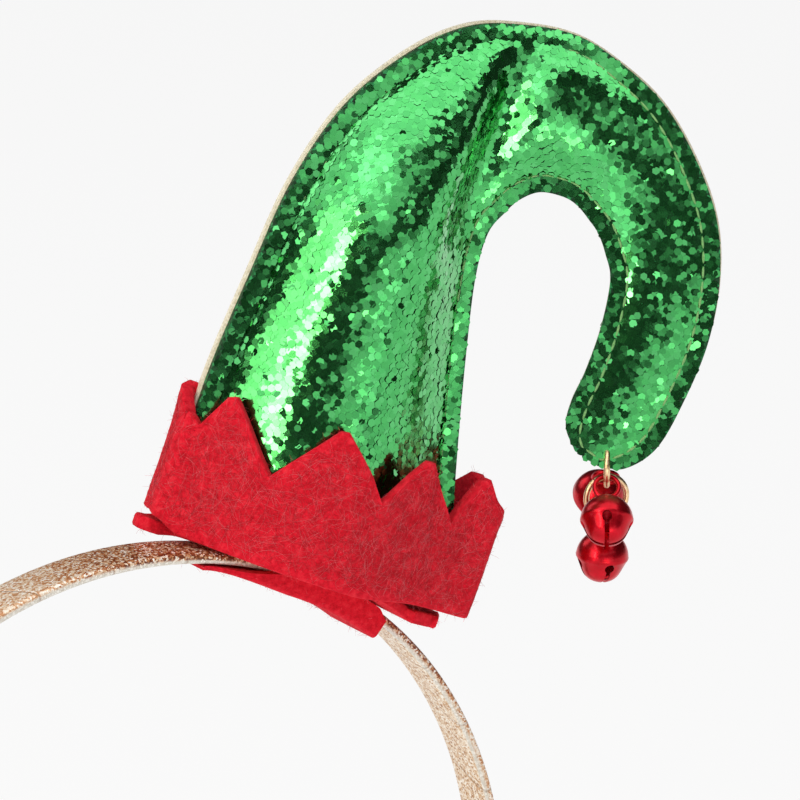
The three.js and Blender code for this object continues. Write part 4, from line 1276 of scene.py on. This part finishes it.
def jump_ring(name, radius, first, centre, cut_at):
    """A wire ring on the drop with a narrow cut at one place."""
    gap = RING_CUT / radius / 2
    around = cut_at + np.linspace(gap, 2 * np.pi - gap, RING_STATIONS)
    points = in_drop(bent_wire(around, radius, RING_WIRE, first, centre, RING_SECTION))
    return make_piece(name, points, tube_faces(1, RING_STATIONS, RING_SECTION), [gold], "drop",
                      sharp_degrees=50)


ring_way = math.cos(BELL_RING_TURN) * RIGHTWARD + math.sin(BELL_RING_TURN) * BACKWARD
tip_ring = jump_ring("tip_ring_wire", TIP_RING_RADIUS, BACKWARD, tip_ring_centre, TIP_CUT_AT)
bell_ring = jump_ring("bell_ring_wire", BELL_RING_RADIUS, ring_way, bell_ring_centre, BELL_CUT_AT)
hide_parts("tip_ring")
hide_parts("bell_ring")

# %% [markdown]
# A bell is pressed from thin metal in two halves with a seam at the waist, lacquered red, and
# slotted across its lower half, each slot ending in a round hole. The shell is a profile turned
# about its axis, inside and outside as one closed surface; the slots are cut from it, and a wire
# loop is fixed on top.

# %% Bells
BELL_WALL = 0.4 * MM
BELL_TAPER = 0.5
BELL_TURNS = 96
BELL_ROWS = 48
POLE_WELD = 0.002 * MM
SLOT_WIDTH = 0.7 * MM
SLOT_TOP = -0.9 * MM
SLOT_HOLE = 0.75 * MM
SLOT_REACH = 3 * BELL_RADIUS
PIN_SIDES = 24
SEAM_HEIGHT = 0.16 * MM
SEAM_PROUD = 0.09 * MM
LOOP_STATIONS = 64
LOOP_SECTION = 16
LACQUER_RIPPLE = 1.6 * MM
RIPPLE_DEPTH = 0.3 * MM

lacquer = grained_material(
    "red metallic lacquer on pressed steel", LACQUER_RIPPLE, [(0.3, "#B8081A"), (0.7, "#D41126")],
    {"Metallic": 0.9, "Roughness": 0.3, "Coat Weight": 0.15, "Coat Roughness": 0.08},
    relief=(0.12, RIPPLE_DEPTH))


def bell_skin(radius, proud):
    """A ball whose lower half tapers a little, turned about its axis, with a raised seam at its waist."""
    turn = np.linspace(-np.pi / 2, np.pi / 2, BELL_ROWS)
    below = np.maximum(-np.sin(turn), 0)
    height = radius * np.sin(turn)
    width = radius * np.cos(turn) * (1 - BELL_TAPER * below * np.cos(turn) * (1 - below))
    width = width + proud * np.exp(-(height / SEAM_HEIGHT) ** 2)
    around = np.linspace(0, 2 * np.pi, BELL_TURNS, endpoint=False)
    x, y = width[:, None] * np.cos(around), width[:, None] * np.sin(around)
    return np.stack(np.broadcast_arrays(x, y, height[:, None]), -1)


def cutter(points, faces):
    """A plain mesh object for cutting, removed after use."""
    mesh = bpy.data.meshes.new("cutter")
    mesh.from_pydata(points.reshape(-1, 3).tolist(), [], faces)
    piece = bpy.data.objects.new("cutter", mesh)
    scene.collection.objects.link(piece)
    return piece


def prism(outline):
    """Points and faces of a cutter: an outline, in distances aside and up, drawn right across the bell."""
    ends = [np.insert(outline, 0, x, axis=1) for x in (-SLOT_REACH, SLOT_REACH)]
    faces = [face.tolist() for group in tube_faces(1, 2, len(outline)) for face in group]
    return np.stack(ends), faces


def slot_cutters():
    """Two crossed blades below the waist and two pins through the slot ends."""
    turn = np.linspace(0, 2 * np.pi, PIN_SIDES, endpoint=False)
    pin = np.stack([SLOT_HOLE * np.cos(turn), SLOT_TOP + SLOT_HOLE * np.sin(turn)], -1)
    half, low = SLOT_WIDTH / 2, -2 * BELL_RADIUS
    blade = np.array([(-half, low), (half, low), (half, SLOT_TOP), (-half, SLOT_TOP)])
    cutters = []
    for spin in (np.eye(2), np.array([[0, 1], [-1, 0]])):
        for outline in (blade, pin):
            points, faces = prism(outline)
            points[..., :2] = points[..., :2] @ spin
            cutters.append(cutter(points, faces))
    return cutters


def bell_shell():
    """The slotted shell, centred at the origin: points and triangles."""
    outer, inner = bell_skin(BELL_RADIUS, SEAM_PROUD), bell_skin(BELL_RADIUS - BELL_WALL, 0.0)
    faces = grid_faces(BELL_ROWS, BELL_TURNS, close_columns=True)
    both = np.concatenate([faces, faces[:, ::-1] + BELL_ROWS * BELL_TURNS])
    shell = cutter(np.concatenate([outer, inner]), both.tolist())
    shell.modifiers.new("poles", "WELD").merge_threshold = POLE_WELD
    blades = slot_cutters()
    for blade in blades:
        cut = shell.modifiers.new("slot", "BOOLEAN")
        cut.operation = "DIFFERENCE"
        cut.solver = "EXACT"
        cut.object = blade
    mesh = bpy.data.meshes.new_from_object(shell.evaluated_get(bpy.context.evaluated_depsgraph_get()))
    points, triangles = mesh_triangles(mesh)
    for piece in [shell, *blades]:
        bpy.data.objects.remove(piece)
    bpy.data.meshes.remove(mesh)
    return points, triangles


shell_points, shell_faces = bell_shell()
loop_around = np.linspace(0, 2 * np.pi, LOOP_STATIONS, endpoint=False)
loop_centre = UPWARD * (BELL_RADIUS + LOOP_RADIUS + LOOP_WIRE - LOOP_SINK)
loop_points = bent_wire(loop_around, LOOP_RADIUS, LOOP_WIRE, RIGHTWARD, loop_centre, LOOP_SECTION)
loop_faces = grid_faces(LOOP_STATIONS, LOOP_SECTION, close_rows=True, close_columns=True)[:, ::-1]
bell_points = np.concatenate([shell_points, loop_points.reshape(-1, 3)])
bell_faces = [shell_faces, loop_faces + len(shell_points)]


def hang_bell(node, wire_point, wire_along, way_out):
    """A bell whose loop goes round a wire: it leaves the wire along way_out."""
    axis = -unit(way_out)
    aside = unit(np.cross(wire_along, axis))
    axes = np.stack([aside, np.cross(axis, aside), axis])
    points = in_drop(wire_point - axis * BELL_HANG + bell_points @ axes)
    bell = make_piece(f"{node}_shell", points, bell_faces, [lacquer], "drop", sharp_degrees=35)
    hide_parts(node)


def on_tip_ring(back, lean):
    """A place low on the tip ring, turned back from straight down: point, wire direction, way out."""
    out = math.sin(back) * BACKWARD - math.cos(back) * UPWARD
    along = math.cos(back) * BACKWARD + math.sin(back) * UPWARD
    return tip_ring_centre + out * TIP_RING_RADIUS, along, out + math.tan(lean) * RIGHTWARD


low_point = bell_ring_centre - UPWARD * BELL_RING_RADIUS
hang_bell("bell_1", *on_tip_ring(BELL_SPLAY, REAR_LEAN))
hang_bell("bell_2", *on_tip_ring(-BELL_SPLAY, 0.0))
hang_bell("bell_3", low_point, ring_way, math.tan(LOW_LEAN) * RIGHTWARD - UPWARD)
